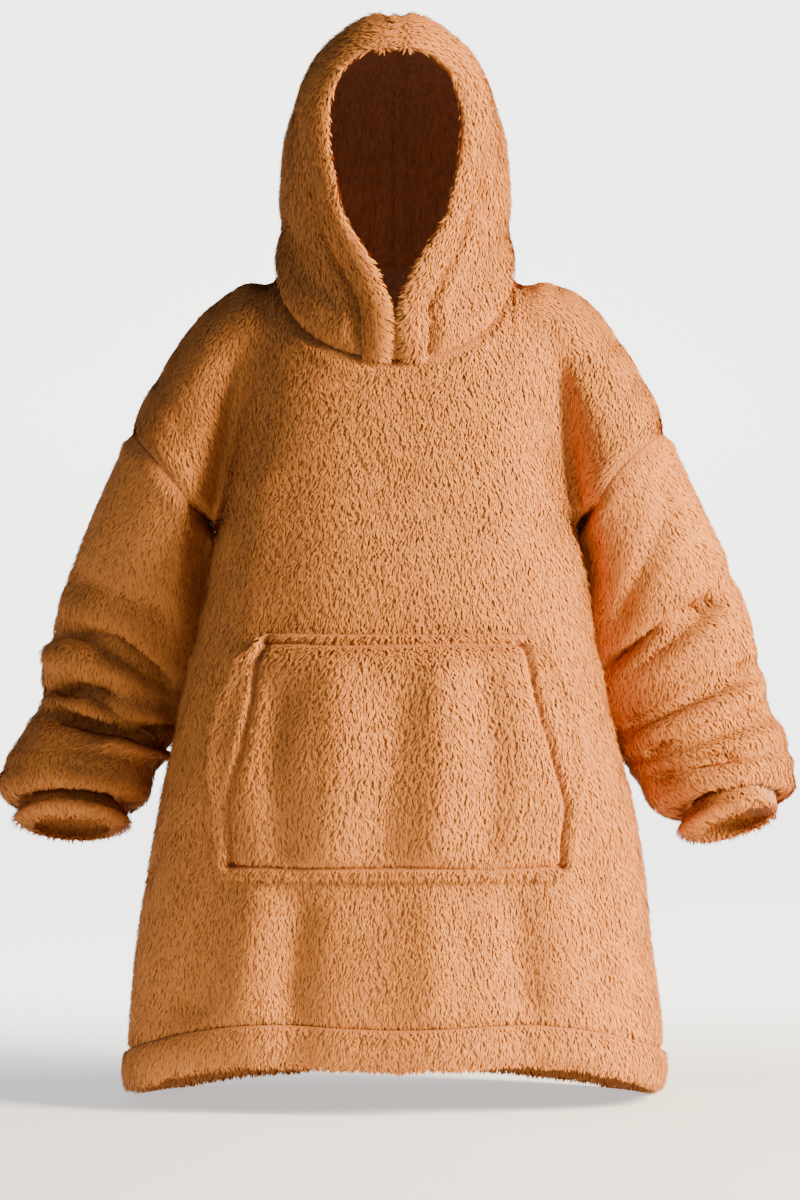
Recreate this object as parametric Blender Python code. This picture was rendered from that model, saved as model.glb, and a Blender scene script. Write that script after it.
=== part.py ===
"""Hooded plush blanket top, standing open and filled out as it is worn.

Metres, +Z up, the front faces -Y and +X is the viewer's right. The origin is midway between the two
neck points of the shoulder seams, where the wearer's shoulders carry the garment.
Every piece is a wall whose outer points come from section tables, and whose inner points lie one
wall thickness further in. Neighbours share their seam points and are parted there by a small gap.
"""
import bmesh
import bpy
import numpy as np

# Cloth: knitted backing and standing pile together, and the parting between sewn pieces.
WALL = 0.007
SEAM_GAP = 0.0003
BAND_GAP = 0.0006

# How finely the walls are divided.
NECK_COLUMNS = 6
SHOULDER_COLUMNS = 8
HALF_COLUMNS = NECK_COLUMNS + SHOULDER_COLUMNS
SKIRT_ROWS = 12
ARMHOLE_ROWS = 9
SLEEVE_ROWS = 18
HOOD_ROWS = 12
BAND_SIDES = 8

# Body sections. left and right are half widths, middle is the y of the widest point, and front and
# back are the depths from there to the chest and to the shoulder blades.
BODY_COLUMNS = ("z", "left", "right", "middle", "front", "back")
BODY_SECTIONS = (
    (-0.905, 0.2975, 0.2955, 0.000, 0.200, 0.195),
    (-0.825, 0.2926, 0.2937, 0.000, 0.198, 0.190),
    (-0.737, 0.2849, 0.2827, 0.000, 0.193, 0.182),
    (-0.649, 0.2706, 0.2735, 0.002, 0.186, 0.170),
    (-0.570, 0.2570, 0.2590, 0.006, 0.180, 0.158),
    (-0.515, 0.2443, 0.2440, 0.010, 0.177, 0.150),
    (-0.458, 0.2344, 0.2325, 0.014, 0.174, 0.142),
    (-0.396, 0.2186, 0.2205, 0.018, 0.170, 0.135),
    (-0.320, 0.2051, 0.2100, 0.025, 0.165, 0.124),
    (-0.263, 0.1971, 0.2004, 0.029, 0.160, 0.114),
    (-0.208, 0.1869, 0.1925, 0.030, 0.154, 0.106),
    (-0.158, 0.1793, 0.1900, 0.030, 0.148, 0.098),
    (-0.113, 0.1760, 0.1885, 0.030, 0.141, 0.092),
    (0.030, 0.1720, 0.1830, 0.030, 0.128, 0.080),
)
FRONT_SQUARENESS = 2.6
BACK_SQUARENESS = 2.2

# The top outline of the shoulders. Inside the neck it is the rise that the cloth would have had.
SHOULDER_COLUMNS_OF_TABLE = ("left_x", "right_x", "z")
SHOULDER_OUTLINE = (
    (0.0000, 0.0000, 0.0750),
    (0.0500, 0.0500, 0.0700),
    (0.0900, 0.0900, 0.0540),
    (0.1150, 0.1150, 0.0310),
    (0.1310, 0.1310, 0.0000),
    (0.1640, 0.1700, -0.0150),
    (0.1893, 0.2058, -0.0310),
    (0.2147, 0.2279, -0.0532),
    (0.2324, 0.2434, -0.0753),
    (0.2468, 0.2589, -0.0974),
    (0.2601, 0.2711, -0.1195),
    (0.2745, 0.2844, -0.1417),
    (0.2866, 0.2943, -0.1638),
    (0.2955, 0.3021, -0.1755),
)
CHEST_ROUNDING = 0.150
BACK_ROUNDING = 0.120

# Neckline and armhole.
NECK_HALF_WIDTH = 0.131
NECK_FRONT_Z = -0.1024
NECK_BACK_Z = 0.012
NECK_SQUARENESS = 2.15
ARMPIT_Z = -0.285
ARMHOLE_BOW = {"left": 0.002, "right": 0.012}
ARM_HALF_HEIGHT = 0.073
ARM_FRONT = 0.080
ARM_BACK = 0.075
VALLEY_TOP_Z = -0.075
VALLEY_WIDTH = 0.050
BLEND = 0.015
RELAX_PASSES = 1

# Hem: height of its seam and of its lower edge, by the angle round the body from the front middle.
HEM_COLUMNS = ("degrees", "seam_z", "edge_z")
HEM_LEVELS = (
    (0.0, -0.8185, -0.8560),
    (25.0, -0.8150, -0.8520),
    (45.0, -0.8260, -0.8640),
    (65.0, -0.8420, -0.8810),
    (90.0, -0.8580, -0.8950),
    (110.0, -0.8700, -0.9080),
    (135.0, -0.8640, -0.9020),
    (180.0, -0.8480, -0.8850),
)
HEM_THICKNESS = 0.013

# Soft upright folds of the body: x and z of the middle, half width, half height, depth (in is positive)
# and the side they lie on.
BODY_FOLD_COLUMNS = ("side", "x", "z", "half_width", "half_height", "depth")
BODY_FOLDS = (
    ("front", -0.108, -0.800, 0.030, 0.130, 0.010),
    ("front", 0.036, -0.780, 0.050, 0.150, -0.007),
    ("front", 0.142, -0.750, 0.030, 0.140, 0.009),
    ("front", -0.205, -0.700, 0.030, 0.120, 0.006),
    ("front", -0.040, -0.330, 0.110, 0.060, -0.005),
    ("back", -0.120, -0.700, 0.034, 0.200, 0.012),
    ("back", 0.020, -0.740, 0.045, 0.200, -0.008),
    ("back", 0.135, -0.720, 0.032, 0.180, 0.011),
    ("back", 0.000, -0.180, 0.090, 0.050, -0.004),
)

# Sleeves: outer and inner outline point of each section seen from the front, the y of its middle,
# its half depth, and how far its front edge is lifted for its depth.
SLEEVE_COLUMNS = ("along", "outer_x", "outer_z", "inner_x", "inner_z", "middle", "half_depth", "lift")
SLEEVE_SECTIONS = {
    "right": (
        (0.00, 0.3021, -0.1755, 0.2045, -0.2850, 0.030, 0.076, 0.00),
        (0.16, 0.3396, -0.2520, 0.2160, -0.3450, 0.047, 0.076, 0.00),
        (0.36, 0.3825, -0.3410, 0.2180, -0.4200, 0.070, 0.072, 0.00),
        (0.48, 0.4020, -0.3950, 0.2230, -0.4600, 0.075, 0.070, 0.00),
        (0.62, 0.4160, -0.4560, 0.2330, -0.5020, 0.074, 0.071, 0.05),
        (0.74, 0.4320, -0.5020, 0.2440, -0.5320, 0.064, 0.074, 0.12),
        (0.85, 0.4440, -0.5430, 0.2620, -0.5580, 0.050, 0.072, 0.22),
        (0.93, 0.4380, -0.5650, 0.2830, -0.5790, 0.038, 0.062, 0.32),
        (1.00, 0.4170, -0.5660, 0.3230, -0.5960, 0.030, 0.043, 0.40),
    ),
    "left": (
        (0.00, 0.2955, -0.1755, 0.2010, -0.2850, 0.030, 0.076, 0.00),
        (0.16, 0.3308, -0.2520, 0.2130, -0.3450, 0.047, 0.076, 0.00),
        (0.36, 0.3682, -0.3410, 0.2190, -0.4200, 0.070, 0.072, 0.00),
        (0.48, 0.3885, -0.3950, 0.2260, -0.4600, 0.075, 0.070, 0.00),
        (0.62, 0.4010, -0.4600, 0.2370, -0.5050, 0.074, 0.071, 0.05),
        (0.74, 0.4120, -0.5030, 0.2480, -0.5330, 0.064, 0.074, 0.12),
        (0.85, 0.4330, -0.5400, 0.2610, -0.5490, 0.050, 0.072, 0.22),
        (0.93, 0.4330, -0.5660, 0.2760, -0.5700, 0.038, 0.062, 0.30),
        (1.00, 0.4060, -0.5830, 0.3060, -0.5870, 0.030, 0.044, 0.36),
    ),
}
ARMHOLE_REACH = 0.35

# Sleeve folds: place along the sleeve, how much further along they lie at the inner side, the angle
# they centre on (0 is outside, 90 the front), its spread, their half width along the sleeve and depth.
FOLD_COLUMNS = ("along", "slant", "degrees", "spread", "half_width", "depth")
SLEEVE_FOLDS = {
    "right": (
        (0.34, 0.16, 75.0, 80.0, 0.030, 0.009),
        (0.56, 0.12, 85.0, 75.0, 0.026, 0.014),
        (0.70, 0.10, 80.0, 85.0, 0.024, 0.013),
        (0.81, 0.06, 70.0, 70.0, 0.020, 0.008),
        (0.50, 0.10, 260.0, 80.0, 0.030, 0.012),
        (0.66, 0.08, 275.0, 90.0, 0.026, 0.012),
    ),
    "left": (
        (0.44, 0.06, 80.0, 75.0, 0.024, 0.009),
        (0.57, 0.10, 85.0, 70.0, 0.022, 0.008),
        (0.68, 0.04, 80.0, 85.0, 0.024, 0.014),
        (0.80, 0.06, 110.0, 70.0, 0.020, 0.009),
        (0.48, 0.08, 265.0, 80.0, 0.030, 0.012),
        (0.64, 0.10, 280.0, 90.0, 0.026, 0.012),
    ),
}

# Cuffs: a turned, padded ring below the end of each sleeve.
CUFF_HEIGHT = 0.030
CUFF_THICKNESS = 0.022
CUFF_FLARE = 0.006
CUFF_GAP = 0.0008

# Hood: its edge seam and the edge of the face opening, from the neckline (along 0) to the top seam.
EDGE_COLUMNS = ("along", "seam_x", "seam_y", "seam_z", "lip_x", "lip_y", "lip_z")
HOOD_EDGE = (
    (0.083, 0.0380, -0.1120, -0.0710, 0.0006, -0.1240, -0.0780),
    (0.167, 0.0400, -0.1090, -0.0430, 0.0055, -0.1280, -0.0500),
    (0.250, 0.0575, -0.0980, -0.0050, 0.0185, -0.1250, -0.0150),
    (0.333, 0.0700, -0.0910, 0.0200, 0.0360, -0.1210, 0.0155),
    (0.417, 0.0850, -0.0840, 0.0550, 0.0555, -0.1180, 0.0450),
    (0.500, 0.0985, -0.0780, 0.0980, 0.0665, -0.1150, 0.0900),
    (0.583, 0.1050, -0.0750, 0.1400, 0.0728, -0.1120, 0.1340),
    (0.667, 0.1050, -0.0720, 0.1780, 0.0718, -0.1100, 0.1710),
    (0.750, 0.0920, -0.0690, 0.2160, 0.0600, -0.1110, 0.2050),
    (0.833, 0.0640, -0.0680, 0.2500, 0.0370, -0.1130, 0.2255),
    (0.917, 0.0330, -0.0690, 0.2690, 0.0175, -0.1150, 0.2315),
    (1.000, 0.0000, -0.0700, 0.2745, 0.0000, -0.1150, 0.2325),
)
# Hood: the widest point of each section and its end on the middle seam.
CROWN_COLUMNS = ("along", "half_width", "side_y", "side_z", "back_y", "back_z")
HOOD_CROWN = (
    (0.000, 0.1310, 0.030, 0.0000, 0.095, 0.0120),
    (0.167, 0.1280, 0.025, 0.0400, 0.114, 0.0500),
    (0.333, 0.1255, 0.021, 0.0900, 0.127, 0.1000),
    (0.500, 0.1185, 0.018, 0.1560, 0.130, 0.1600),
    (0.667, 0.0965, 0.012, 0.2160, 0.113, 0.2150),
    (0.750, 0.0765, 0.008, 0.2425, 0.100, 0.2350),
    (0.833, 0.0490, 0.004, 0.2645, 0.089, 0.2455),
    (0.917, 0.0240, 0.001, 0.2755, 0.083, 0.2495),
    (1.000, 0.0000, 0.000, 0.2778, 0.080, 0.2510),
)
HOOD_EDGE_THICKNESS = 0.017
HOOD_FOOT_RISE = 0.0010
HOOD_EDGE_PUFF = 0.004
NECK_REACH = 0.30

# Kangaroo pocket: half width at each height, and how far it stands off the front.
POCKET_COLUMNS = ("z", "half_width")
POCKET_OUTLINE = (
    (-0.6560, 0.1855),
    (-0.6000, 0.1880),
    (-0.5500, 0.1890),
    (-0.4950, 0.1820),
    (-0.4400, 0.1620),
    (-0.4000, 0.1410),
)
POCKET_X = 0.002
POCKET_ACROSS = 16
POCKET_UP = 11
POCKET_BULGE = 0.024
POCKET_MOUTH_GAP = 0.017
POCKET_SEAM_GAP = 0.0006

CAMEL = (0.52, 0.26, 0.10, 1.0)


def read(table, columns, name, at):
    """One column of a table at the given places along its first column, by smooth cubics."""
    rows = sorted(table, key=lambda row: row[0])
    keys = np.array([row[0] for row in rows], float)
    values = np.array([row[columns.index(name)] for row in rows], float)
    return smooth(keys, values, at)


def smooth(keys, values, at):
    """Cubic Hermite curve through the values, its slopes taken from the neighbouring keys."""
    slopes = np.gradient(values, keys)
    at = np.clip(at, keys[0], keys[-1])
    left = np.clip(np.searchsorted(keys, at) - 1, 0, len(keys) - 2)
    step = keys[left + 1] - keys[left]
    t = (at - keys[left]) / step
    start = (2 * t**3 - 3 * t**2 + 1) * values[left] + (t**3 - 2 * t**2 + t) * step * slopes[left]
    end = (3 * t**2 - 2 * t**3) * values[left + 1] + (t**3 - t**2) * step * slopes[left + 1]
    return start + end


def ease(t):
    """0 to 1 with level ends."""
    t = np.clip(t, 0.0, 1.0)
    return t * t * (3.0 - 2.0 * t)


def quarter(t):
    """Height of a quarter circle that starts upright at 0 and is level from 1 on."""
    return np.sqrt(np.maximum(0.0, 1.0 - (1.0 - np.clip(t, 0.0, 1.0)) ** 2))


def side_name(x):
    return "left" if x < 0 else "right"


def body(name, z):
    return read(BODY_SECTIONS, BODY_COLUMNS, name, z)


def shoulder_curve(side):
    """The top outline of one shoulder, as x and z arrays."""
    column = SHOULDER_COLUMNS_OF_TABLE.index(side + "_x")
    table = np.array(SHOULDER_OUTLINE)
    return table[:, column], table[:, 2]


def below_shoulder(side, x, z):
    """Distance of a point, seen from the front, below the top outline."""
    xs, zs = shoulder_curve(side)
    line_x = np.linspace(xs[0], xs[-1], 160)
    line_z = smooth(xs, zs, line_x)
    away = np.hypot(x[..., None] - line_x, z[..., None] - line_z).min(axis=-1)
    return np.where(z > smooth(xs, zs, x), 0.0, away)


def body_fold(face, x, z):
    """How far the upright folds push the cloth in at a point of the front or back."""
    depth = np.zeros(np.broadcast(x, z).shape)
    for name, fold_x, fold_z, half_width, half_height, fold_depth in BODY_FOLDS:
        if name == face:
            across = np.exp(-(((x - fold_x) / half_width) ** 2))
            along = np.exp(-(((z - fold_z) / half_height) ** 2))
            depth = depth + fold_depth * across * along
    return depth


def bulge(face, side, x, z):
    """How far the cloth stands in front of (or behind) the middle surface; x is the distance out."""
    front = face == "front"
    power = FRONT_SQUARENESS if front else BACK_SQUARENESS
    width = body(side, z)
    below = below_shoulder(side, x, z)
    rounding = CHEST_ROUNDING if front else BACK_ROUNDING
    inside = np.maximum(0.0, 1.0 - np.clip(x / width, 0.0, 1.0) ** power)
    torso = body(face, z) * inside ** (1.0 / power) * quarter(below / rounding)
    rise = np.clip((z - ARMPIT_Z) / (VALLEY_TOP_Z - ARMPIT_Z), 0.0, 1.0)
    shallow = rise**1.3
    across = quarter((x - width + 0.004) / VALLEY_WIDTH)
    reach = ARM_FRONT if front else ARM_BACK
    arm = reach * quarter(below / ARM_HALF_HEIGHT) * (shallow + (1.0 - shallow) * across)
    arm = arm * ease((z - ARMPIT_Z) / 0.030)
    soft = BLEND * np.clip((z - ARMPIT_Z) / 0.05, 0.0, 1.0) * quarter(below / 0.05)
    return 0.5 * (torso + arm + np.sqrt((torso - arm) ** 2 + soft**2))


def face_y(face, side, x, z):
    """y of the front or back at x (distance out) and z, folds included."""
    sign = -1.0 if face == "front" else 1.0
    signed_x = -x if side == "left" else x
    width = body(side, z)
    room = np.clip(1.6 * (1.0 - np.clip(x / width, 0.0, 1.0)), 0.0, 1.0)
    depth = bulge(face, side, x, z) - body_fold(face, signed_x, z) * room
    return body("middle", z) + sign * depth


def neck_points(face, count):
    """x and z of the neckline, from the middle out to the neck point of the shoulder."""
    angle = np.linspace(0.0, 0.5 * np.pi, count + 1)
    x = NECK_HALF_WIDTH * np.sin(angle) ** (2.0 / NECK_SQUARENESS)
    low = NECK_FRONT_Z if face == "front" else NECK_BACK_Z
    z = low * np.cos(angle) ** (2.0 / NECK_SQUARENESS)
    return x, z


def shoulder_points(side, count):
    """x and z of the shoulder seam, evenly spaced from the neck point to the shoulder point."""
    xs, zs = shoulder_curve(side)
    fine = np.linspace(NECK_HALF_WIDTH, xs[-1], 200)
    fine_z = smooth(xs, zs, fine)
    length = np.concatenate(([0.0], np.cumsum(np.hypot(np.diff(fine), np.diff(fine_z)))))
    at = np.linspace(0.0, length[-1], count + 1)
    z = np.interp(at, length, fine_z)
    z[0] = 0.0
    return np.interp(at, length, fine), z


def armhole_points(side, count):
    """x and z of the armhole seam seen from the front, from the armpit to the shoulder point."""
    xs, zs = shoulder_curve(side)
    start = np.array([body(side, ARMPIT_Z), ARMPIT_Z])
    end = np.array([xs[-1], zs[-1]])
    line = end - start
    across = np.array([-line[1], line[0]]) / np.hypot(*line)
    t = np.linspace(0.0, 1.0, count + 1)[:, None]
    points = start + line * t + across * ARMHOLE_BOW[side] * 4.0 * t * (1.0 - t)
    return points[:, 0], points[:, 1]


def half_face(face, side, refine=1):
    """Grid of points of half the front or back, rows from the hem seam up, columns outwards."""
    neck_count = NECK_COLUMNS * refine
    shoulder_count = SHOULDER_COLUMNS * refine
    columns = neck_count + shoulder_count
    c = np.linspace(0.0, 1.0, columns + 1)
    power = FRONT_SQUARENESS if face == "front" else BACK_SQUARENESS
    spread = np.sin(0.5 * np.pi * c) ** (2.0 / power)

    # Skirt: level sections from the hem seam, which dips, up to the armpit.
    rows = []
    degrees = 90.0 * c if face == "front" else 180.0 - 90.0 * c
    hem_z = read(HEM_LEVELS, HEM_COLUMNS, "seam_z", degrees)
    for v in np.linspace(0.0, 1.0, SKIRT_ROWS * refine + 1):
        z = hem_z + (ARMPIT_Z - hem_z) * v
        x = body(side, z) * spread
        rows.append((x, z))

    # Yoke: a patch between the armpit section, the armhole, and the neckline with the shoulder seam.
    neck_x, neck_z = neck_points(face, neck_count)
    seam_x, seam_z = shoulder_points(side, shoulder_count)
    top = np.array([np.concatenate((neck_x, seam_x[1:])), np.concatenate((neck_z, seam_z[1:]))])
    bottom = np.array(rows[-1])
    hole = np.array(armhole_points(side, ARMHOLE_ROWS * refine))
    for i in range(1, ARMHOLE_ROWS * refine + 1):
        r = i / (ARMHOLE_ROWS * refine)
        middle = bottom[:, :1] * (1.0 - r) + top[:, :1] * r
        between = bottom * (1.0 - r) + top * r
        ends = middle * (1.0 - c) + hole[:, i:i + 1] * c
        corners = middle * (1.0 - c) + (bottom[:, -1:] * (1.0 - r) + top[:, -1:] * r) * c
        rows.append(tuple(between + ends - corners))

    x = np.array([row[0] for row in rows])
    z = np.array([row[1] for row in rows])
    y = face_y(face, side, x, z)
    y = relax(y, SKIRT_ROWS * refine - 1, RELAX_PASSES * refine)
    signed = -x if side == "left" else x
    return np.stack([signed, y, z], axis=-1)


def relax(y, first_row, passes):
    """Ease the depth of the yoke between its borders, so that the valley at the arm runs smooth."""
    y = y.copy()
    for _ in range(passes):
        inner = y[first_row:, :]
        around = 0.25 * (inner[:-2, 1:-1] + inner[2:, 1:-1] + inner[1:-1, :-2] + inner[1:-1, 2:])
        inner[1:-1, 1:-1] += 0.5 * (around - inner[1:-1, 1:-1])
    return y


def whole_face(face, refine=1):
    """Grid of the whole front or back, columns from the viewer's left to right."""
    left = half_face(face, "left", refine)[:, ::-1]
    right = half_face(face, "right", refine)
    return np.concatenate([left, right[:, 1:]], axis=1)


def sleeve_grid(side, front, back, rows):
    """Rings from the armhole to the cuff seam; column 0 is outside, a quarter round is the front."""
    column = -1 if side == "right" else 0
    armhole_rows = (front.shape[0] - 1) * ARMHOLE_ROWS // (ARMHOLE_ROWS + SKIRT_ROWS)
    front_edge = front[-armhole_rows - 1:, column][::-1]
    back_edge = back[-armhole_rows - 1:, column]
    armhole = np.concatenate([front_edge, back_edge[1:-1]])
    sign = 1.0 if side == "right" else -1.0
    table = SLEEVE_SECTIONS[side]
    angle = np.linspace(0.0, 2.0 * np.pi, len(armhole) + 1)[:-1]
    rings = []
    for s in np.linspace(0.0, 1.0, rows + 1):
        ring = sleeve_ring(table, sign, s, angle)
        start = sleeve_ring(table, sign, 0.0, angle)
        hold = 1.0 - ease(s / ARMHOLE_REACH)
        ring = ring + (armhole - start) * hold
        rings.append(fold_ring(side, ring, s, angle))
    return np.array(rings)


def sleeve_ring(table, sign, s, angle):
    """One oval section of a sleeve."""
    value = {name: read(table, SLEEVE_COLUMNS, name, s) for name in SLEEVE_COLUMNS[1:]}
    outer = np.array([sign * value["outer_x"], 0.0, value["outer_z"]])
    inner = np.array([sign * value["inner_x"], 0.0, value["inner_z"]])
    centre = 0.5 * (outer + inner) + np.array([0.0, value["middle"], 0.0])
    across = 0.5 * (outer - inner)
    forward = value["half_depth"] * np.array([0.0, -1.0, value["lift"]])
    return centre + np.cos(angle)[:, None] * across + np.sin(angle)[:, None] * forward


def fold_ring(side, ring, s, angle):
    """Push the sleeve's folds into a ring, towards its centre."""
    centre = ring.mean(axis=0)
    inward = centre - ring
    inward = inward / np.linalg.norm(inward, axis=1)[:, None]
    depth = np.zeros(len(ring))
    for place, slant, degrees, spread, half_width, fold_depth in SLEEVE_FOLDS[side]:
        turn = np.angle(np.exp(1j * (angle - np.radians(degrees))))
        around = np.exp(-((turn / np.radians(spread)) ** 2))
        middle = place + slant * 0.5 * (1.0 - np.cos(angle))
        depth += fold_depth * around * np.exp(-(((s - middle) / half_width) ** 2))
    return ring + inward * depth[:, None]


def edge_curves(front, along):
    """The hood's edge seam and lip at the given places, starting on the front neckline."""
    middle = (front.shape[1] - 1) // 2
    step = (front.shape[1] - 1) // (2 * HALF_COLUMNS)
    foot_seam = front[-1, middle + step]
    foot_lip = front[-1, middle] + np.array([0.0006, 0.0, 0.0])
    first = (0.0, *foot_seam, *foot_lip)
    table = (first,) + HOOD_EDGE
    seam = [read(table, EDGE_COLUMNS, name, along) for name in EDGE_COLUMNS[1:4]]
    lip = [read(table, EDGE_COLUMNS, name, along) for name in EDGE_COLUMNS[4:7]]
    return np.stack(seam, axis=-1), np.stack(lip, axis=-1)


def hood_half(front, back, refine=1):
    """Grid of the right half of the hood, rows from the neckline up, columns from edge to back."""
    middle = (front.shape[1] - 1) // 2
    step = refine
    reach = NECK_COLUMNS * refine
    front_neck = front[-1, middle + step:middle + reach + 1]
    back_neck = back[-1, middle:middle + reach][::-1]
    neck = np.concatenate([front_neck, back_neck])
    front_count = len(front_neck) - 1
    back_count = len(back_neck)
    turn_front = np.linspace(0.0, 0.5 * np.pi, front_count + 1)
    turn_back = np.linspace(0.0, 0.5 * np.pi, back_count + 1)[1:]
    rows = HOOD_ROWS * refine
    grid = []
    base = None
    for along in np.linspace(0.0, 1.0, rows + 1):
        seam, _ = edge_curves(front, along)
        width, side_y, side_z, back_y, back_z = (
            read(HOOD_CROWN, CROWN_COLUMNS, name, along) for name in CROWN_COLUMNS[1:]
        )
        x = np.concatenate([
            seam[0] + (width - seam[0]) * np.sin(turn_front),
            width * np.cos(turn_back) ** 0.9,
        ])
        part_way = turn_front / (0.5 * np.pi)
        steady = 0.35 * (1.0 - np.cos(turn_front)) + 0.65 * part_way
        y = np.concatenate([
            seam[1] + (side_y - seam[1]) * steady,
            side_y + (back_y - side_y) * np.sin(turn_back) ** 0.9,
        ])
        z = np.concatenate([
            seam[2] + (side_z - seam[2]) * (0.5 * part_way + 0.5 * ease(part_way)),
            side_z + (back_z - side_z) * ease(turn_back / (0.5 * np.pi)),
        ])
        row = np.stack([x, y, z], axis=-1)
        base = row if base is None else base
        grid.append(row + (neck - base) * (1.0 - ease(along / NECK_REACH)))
    return np.array(grid)


def mirrored(grid):
    """A grid's mirror image across the middle plane, its columns in reverse order."""
    return grid[:, ::-1] * np.array([-1.0, 1.0, 1.0])


def normals(grid, wrap=False):
    """Unit normals of a grid, from its rows and columns; they point to the right of a climbing row."""
    if wrap:
        along_row = np.roll(grid, -1, axis=1) - np.roll(grid, 1, axis=1)
    else:
        along_row = np.gradient(grid, axis=1)
    up = np.gradient(grid, axis=0)
    cross = np.cross(along_row, up)
    length = np.linalg.norm(cross, axis=-1, keepdims=True)
    return cross / np.maximum(length, 1e-12)


def share(*slices):
    """Give the seam points of neighbouring pieces one common wall direction."""
    total = sum(part.copy() for part in slices)
    total = total / np.linalg.norm(total, axis=-1, keepdims=True)
    for part in slices:
        part[...] = total


def draw_in(grid, gap, wrap=False):
    """Move the border points of a grid in by a gap, along the surface."""
    out = grid.copy()

    def pull(target, source):
        step = source - target
        size = np.linalg.norm(step, axis=-1, keepdims=True)
        return target + step * (gap / np.maximum(size, 1e-9))

    out[0] = pull(out[0], grid[1])
    out[-1] = pull(out[-1], grid[-2])
    if not wrap:
        out[:, 0] = pull(out[:, 0], out[:, 1])
        out[:, -1] = pull(out[:, -1], out[:, -2])
    return out


def grid_faces(rows, columns, wrap, start=0, flip=False):
    """Quads of a grid of points numbered row by row."""
    faces = []
    count = columns if wrap else columns - 1
    for i in range(rows - 1):
        for j in range(count):
            k = (j + 1) % columns
            quad = (i * columns + j, i * columns + k, (i + 1) * columns + k, (i + 1) * columns + j)
            quad = tuple(start + index for index in quad)
            faces.append(quad[::-1] if flip else quad)
    return faces


def border(rows, columns):
    """Point numbers once round the border of a grid."""
    ring = [j for j in range(columns)]
    ring += [i * columns + columns - 1 for i in range(1, rows)]
    ring += [(rows - 1) * columns + j for j in range(columns - 2, -1, -1)]
    ring += [i * columns for i in range(rows - 2, 0, -1)]
    return ring


def wall_mesh(outer, inner, wrap):
    """Vertices and faces of a closed wall between two matching grids."""
    rows, columns = outer.shape[:2]
    count = rows * columns
    points = np.concatenate([outer.reshape(-1, 3), inner.reshape(-1, 3)])
    faces = grid_faces(rows, columns, wrap) + grid_faces(rows, columns, wrap, count, True)
    if wrap:
        rings = [list(range(columns)), [(rows - 1) * columns + j for j in range(columns)][::-1]]
    else:
        rings = [border(rows, columns)]
    # Both neighbours at a seam cut their rim quads the same way, so that twisted rims stay apart.
    key = points @ np.array([1.0, 2.0, 3.0])
    for ring in rings:
        for a, b in zip(ring, ring[1:] + ring[:1]):
            if key[a] > key[b]:
                faces += [(b, a, a + count), (b, a + count, b + count)]
            else:
                faces += [(b, a, b + count), (a, a + count, b + count)]
    return points, faces


def tube_mesh(rings, closed):
    """Vertices and faces of a solid through matching rings, joined end to end or capped."""
    rows, columns = rings.shape[:2]
    faces = grid_faces(rows, columns, True)
    last = (rows - 1) * columns
    if closed:
        for j in range(columns):
            k = (j + 1) % columns
            faces.append((last + j, last + k, k, j))
    else:
        faces.append(tuple(range(columns))[::-1])
        faces.append(tuple(last + j for j in range(columns)))
    return rings.reshape(-1, 3), faces


def add_piece(name, points, faces, collection):
    """Make one named piece with its own plush material."""
    mesh = bpy.data.meshes.new(name)
    mesh.from_pydata([tuple(map(float, point)) for point in points], [], faces)
    shell = bmesh.new()
    shell.from_mesh(mesh)
    bmesh.ops.remove_doubles(shell, verts=shell.verts, dist=0.00001)
    bmesh.ops.recalc_face_normals(shell, faces=shell.faces)
    shell.to_mesh(mesh)
    shell.free()
    mesh.shade_smooth()
    mesh.set_sharp_from_angle(angle=np.radians(50.0))
    piece = bpy.data.objects.new(name, mesh)
    material = bpy.data.materials.new(name + "_plush")
    material.use_nodes = True
    shader = material.node_tree.nodes["Principled BSDF"]
    shader.inputs["Base Color"].default_value = CAMEL
    shader.inputs["Roughness"].default_value = 0.95
    shader.inputs["Metallic"].default_value = 0.0
    mesh.materials.append(material)
    collection.objects.link(piece)
    return piece


def band_rings(seam, lip, outward, half_thickness, puff, sides):
    """Rounded sections between two edges of a turned band, swelling outwards in their middle."""
    angle = np.linspace(0.0, 2.0 * np.pi, sides + 1)[:-1]
    middle = 0.5 * (seam + lip)
    half = 0.5 * (seam - lip)
    length = np.linalg.norm(half, axis=-1, keepdims=True)
    half = half * (1.0 - BAND_GAP / length)
    along = np.cos(angle)
    rise = half_thickness * np.sin(angle) + puff * np.sin(angle) ** 2
    centre = middle - outward * 0.5 * WALL
    return (
        centre[:, None]
        + half[:, None] * along[None, :, None]
        + outward[:, None] * rise[None, :, None]
    )


def mitre(rings, seam, wall_out, beyond):
    """Press ring points back behind the rim of the wall that the band is sewn to."""
    path = np.gradient(seam, axis=0)
    rim = np.cross(path, wall_out)
    rim = rim / np.linalg.norm(rim, axis=-1, keepdims=True)
    rim = rim * np.sign(np.sum(rim * beyond, axis=-1, keepdims=True))
    past = np.sum((rings - seam[:, None]) * rim[:, None], axis=-1) + BAND_GAP
    return rings - np.maximum(past, 0.0)[..., None] * rim[:, None]


def across_band(seam, lip):
    """Unit directions square to a band, away from the hollow that it edges."""
    path = np.gradient(0.5 * (seam + lip), axis=0)
    out = np.cross(path, seam - lip)
    return out / np.linalg.norm(out, axis=-1, keepdims=True)


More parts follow.
